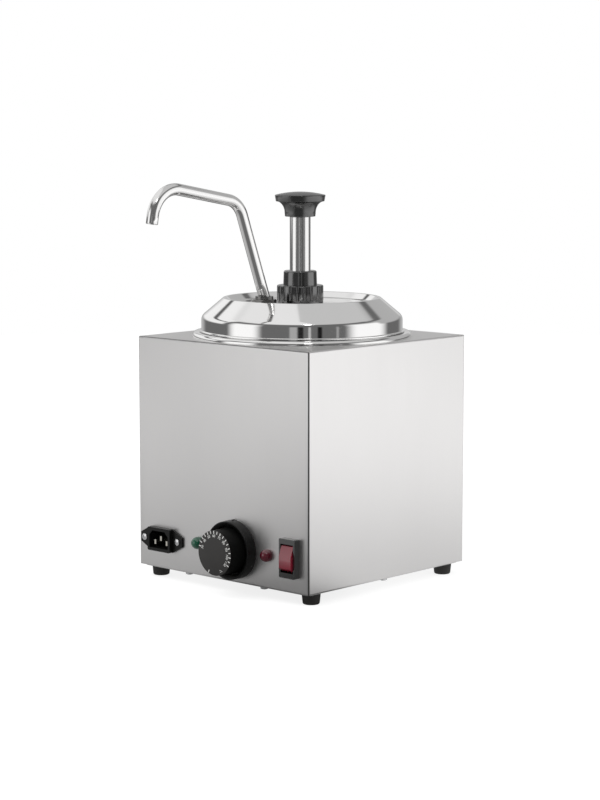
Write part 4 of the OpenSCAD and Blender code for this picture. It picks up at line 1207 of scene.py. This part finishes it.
@dataclass
class Studio:
    """Camera, floor, lamps and surroundings."""

    eye: tuple[float, float, float] = (1.32106, -1.42762, 0.40050)
    aim: tuple[float, float, float] = (-0.00125, -0.00116, 0.15340)
    lens: float = 101.6
    floor_radius: float = 2.2
    floor_dark: float = 0.05
    floor_steps: tuple[float, float, float] = (0.15, 0.8, 2.0)
    ambient: float = 0.75
    base_level: float = 0.15
    glows: tuple[Glow, ...] = (Glow(-92, 36, (0.3, 0.5, 1.0)), Glow(76, 46, (0.58, 0.95, 1.25)))
    panels: tuple[Panel, ...] = (
        Panel(180, 28, -90, 8, 0.5, 12),
        Panel(-70, 17.5, -90, 28, 1.1, 8),
        Panel(82, 24, -90, 28, 1.1, 10),
        Panel(-9.7, 4, -20, 14, 0.42, 1.5),
        Panel(-1.5, 2.8, -20, 14, 0.02, 1.2),
        Panel(8.5, 1.2, -20, 14, 0.55, 0.8),
        Panel(20, 2.2, -20, 14, 0.01, 1.2),
        Panel(40.6, 1.2, -20, 14, 0.35, 1),
        Panel(-150, 48, 6, 90, 0.98, 5),
        Panel(148, 46, 8, 90, 0.47, 5),
        Panel(0, 180, 47, 90, 0.6, 4),
        Panel(-70, 85, 47, 90, 0.88, 8),
        Panel(-140, 35, 26, 31, 0.12, 1.5),
        Panel(135, 32, 37, 44, 0.15, 2),
        Panel(8, 4, 46, 53, 9.0, 2),
    )

    def build(self) -> None:
        """Sets up the camera, floor, lamps and surroundings."""
        self.camera()
        self.floor()
        self.lamps()
        self.surroundings()
        bpy.context.scene.view_settings.view_transform = "Standard"

    def camera(self) -> None:
        """Places the camera."""
        data = bpy.data.cameras.new("camera")
        data.lens = self.lens
        data.sensor_width = 36.0
        data.clip_start = 0.01
        data.clip_end = 20.0
        camera = bpy.data.objects.new("camera", data)
        bpy.context.scene.collection.objects.link(camera)
        camera.location = self.eye
        sight = Vector(self.aim) - Vector(self.eye)
        camera.rotation_euler = sight.to_track_quat("-Z", "Y").to_euler()
        bpy.context.scene.camera = camera

    def floor(self) -> None:
        """Adds a pale round floor that shows the object's shadow."""
        bpy.ops.object.select_all(action="DESELECT")
        bpy.ops.mesh.primitive_circle_add(
            vertices=128, radius=self.floor_radius, fill_type="NGON", location=(0.0, 0.0, 0.0)
        )
        disc = bpy.context.object
        disc.name = "floor"
        material = bpy.data.materials.new("floor_paper")
        material.use_nodes = True
        web = Web(material.node_tree)
        web.tree.nodes.clear()
        paper = web.add("ShaderNodeBsdfDiffuse", Color=(0.30, 0.30, 0.30, 1.0))
        glow = web.add("ShaderNodeEmission", Strength=0.82)
        seen = web.add("ShaderNodeAddShader")
        web.join(paper.outputs[0], seen.inputs[0])
        web.join(glow.outputs[0], seen.inputs[1])
        mirrored = web.add("ShaderNodeEmission")
        web.join(self.floor_level(web), mirrored.inputs["Strength"])
        matt = web.add("ShaderNodeBsdfDiffuse", Color=(0.10, 0.10, 0.10, 1.0))
        both = web.add("ShaderNodeAddShader")
        web.join(matt.outputs[0], both.inputs[0])
        web.join(mirrored.outputs[0], both.inputs[1])
        plain = web.add("ShaderNodeBsdfDiffuse", Color=(0.55, 0.55, 0.55, 1.0))
        self.by_ray(web, both, seen, plain, "ShaderNodeOutputMaterial")
        disc.data.materials.append(material)

    @staticmethod
    def by_ray(
        web: Web, glossy: bpy.types.Node, direct: bpy.types.Node, other: bpy.types.Node, output: str
    ) -> None:
        """Joins shaders that show to different rays to the output.

        Args:
            web: The node tree.
            glossy: What metal reflects.
            direct: What the camera sees.
            other: What lights the rest.
            output: Type of the output node.
        """
        ray = web.add("ShaderNodeLightPath")
        for name, shader in (("Is Glossy Ray", glossy), ("Is Camera Ray", direct)):
            mix = web.add("ShaderNodeMixShader")
            web.join(ray.outputs[name], mix.inputs["Fac"])
            web.join(other.outputs[0], mix.inputs[1])
            web.join(shader.outputs[0], mix.inputs[2])
            other = mix
        out = web.add(output)
        web.join(other.outputs[0], out.inputs["Surface"])

    def floor_level(self, web: Web) -> bpy.types.NodeSocket:
        """Lights the floor for the metal: dark in front, brighter to both sides and far away."""
        heading, reach = web.flattened(web.add("ShaderNodeTexCoord").outputs["Object"])
        near, middle, far = self.floor_steps
        value: bpy.types.NodeSocket | float = self.floor_dark
        for glow in self.glows:
            level = web.swap(web.ease(reach, near, middle), glow.levels[0], glow.levels[1])
            level = web.swap(web.ease(reach, middle, far), level, glow.levels[2])
            value = web.swap(self.sector(web, heading, glow.bearing, glow.half_width, 16.0), value, level)
        return value

    @staticmethod
    def sector(
        web: Web, heading: bpy.types.NodeSocket, bearing: float, half_width: float, soft: float
    ) -> bpy.types.NodeSocket:
        """Masks a sector of bearings.

        Args:
            web: The node tree.
            heading: The flat direction.
            bearing: Middle of the sector, in degrees.
            half_width: In degrees.
            soft: Half the width of its soft edge, in degrees.

        Returns:
            The mask.
        """
        return web.ease(
            web.facing(heading, bearing),
            math.cos(math.radians(min(180.0, half_width + soft))),
            math.cos(math.radians(max(0.0, half_width - soft))),
        )

    def lamps(self) -> None:
        """Hangs one large soft lamp over the front and one to the right."""
        for name, place, size, power in (
            ("key", (-0.9, -1.5, 2.2), 1.8, 26.0),
            ("fill", (1.9, 0.2, 1.4), 1.4, 10.0),
        ):
            data = bpy.data.lights.new(name, "AREA")
            data.size = size
            data.energy = power
            lamp = bpy.data.objects.new(name, data)
            bpy.context.scene.collection.objects.link(lamp)
            lamp.location = place
            lamp.rotation_euler = (Vector((0, 0, 0.15)) - Vector(place)).to_track_quat("-Z", "Y").to_euler()
            lamp.visible_glossy = False

    def surroundings(self) -> None:
        """Builds the studio round the object: white to the eye, lit panels to the metal."""
        world = bpy.data.worlds.new("studio")
        bpy.context.scene.world = world
        world.use_nodes = True
        web = Web(world.node_tree)
        web.tree.nodes.clear()
        coords = web.add("ShaderNodeTexCoord").outputs["Generated"]
        parts = web.add("ShaderNodeSeparateXYZ")
        web.join(coords, parts.inputs[0])
        height = parts.outputs["Z"]
        heading, _ = web.flattened(coords)
        value: bpy.types.NodeSocket | float = self.base_level
        for panel in self.panels:
            value = web.swap(self.shape(web, panel, height, heading), value, panel.level)
        shown = web.add("ShaderNodeBackground")
        web.join(value, shown.inputs["Color"])
        soft = web.add("ShaderNodeBackground", Strength=self.ambient, Color=(1.0, 1.0, 1.0, 1.0))
        white = web.add("ShaderNodeBackground", Strength=1.0, Color=(1.0, 1.0, 1.0, 1.0))
        self.by_ray(web, shown, white, soft, "ShaderNodeOutputWorld")

    def shape(
        self, web: Web, panel: Panel, height: bpy.types.NodeSocket, heading: bpy.types.NodeSocket
    ) -> bpy.types.NodeSocket:
        """Masks a panel of the surroundings.

        Args:
            web: The node tree.
            panel: The panel.
            height: Sine of the elevation.
            heading: The flat direction.

        Returns:
            The mask.
        """

        def step(start: float, end: float) -> bpy.types.NodeSocket:
            """Steps between two elevations."""
            return web.ease(height, math.sin(math.radians(start)), math.sin(math.radians(end)))

        if panel.low > -90:
            mask = step(panel.low - panel.soft, panel.low + panel.soft)
        else:
            mask = web.ease(height, -2.0, -1.5)
        if panel.high < 90:
            mask = web.times(mask, step(min(90.0, panel.high + panel.soft), panel.high - panel.soft))
        if panel.half_width < 180:
            mask = web.times(mask, self.sector(web, heading, panel.bearing, panel.half_width, panel.soft))
        return mask


def main() -> None:
    """Builds the studio and every sub-assembly."""
    logging.basicConfig(level=logging.INFO, format="%(message)s")
    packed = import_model()
    frame = Frame(packed["nodes"])
    Studio().build()
    for assembly in (Housing, Bath, Pot, Lid, Pump, Spout, Controls):
        part = assembly(frame)
        part.build()
    log.info("sizes noted")


if __name__ == "__main__":
    main()
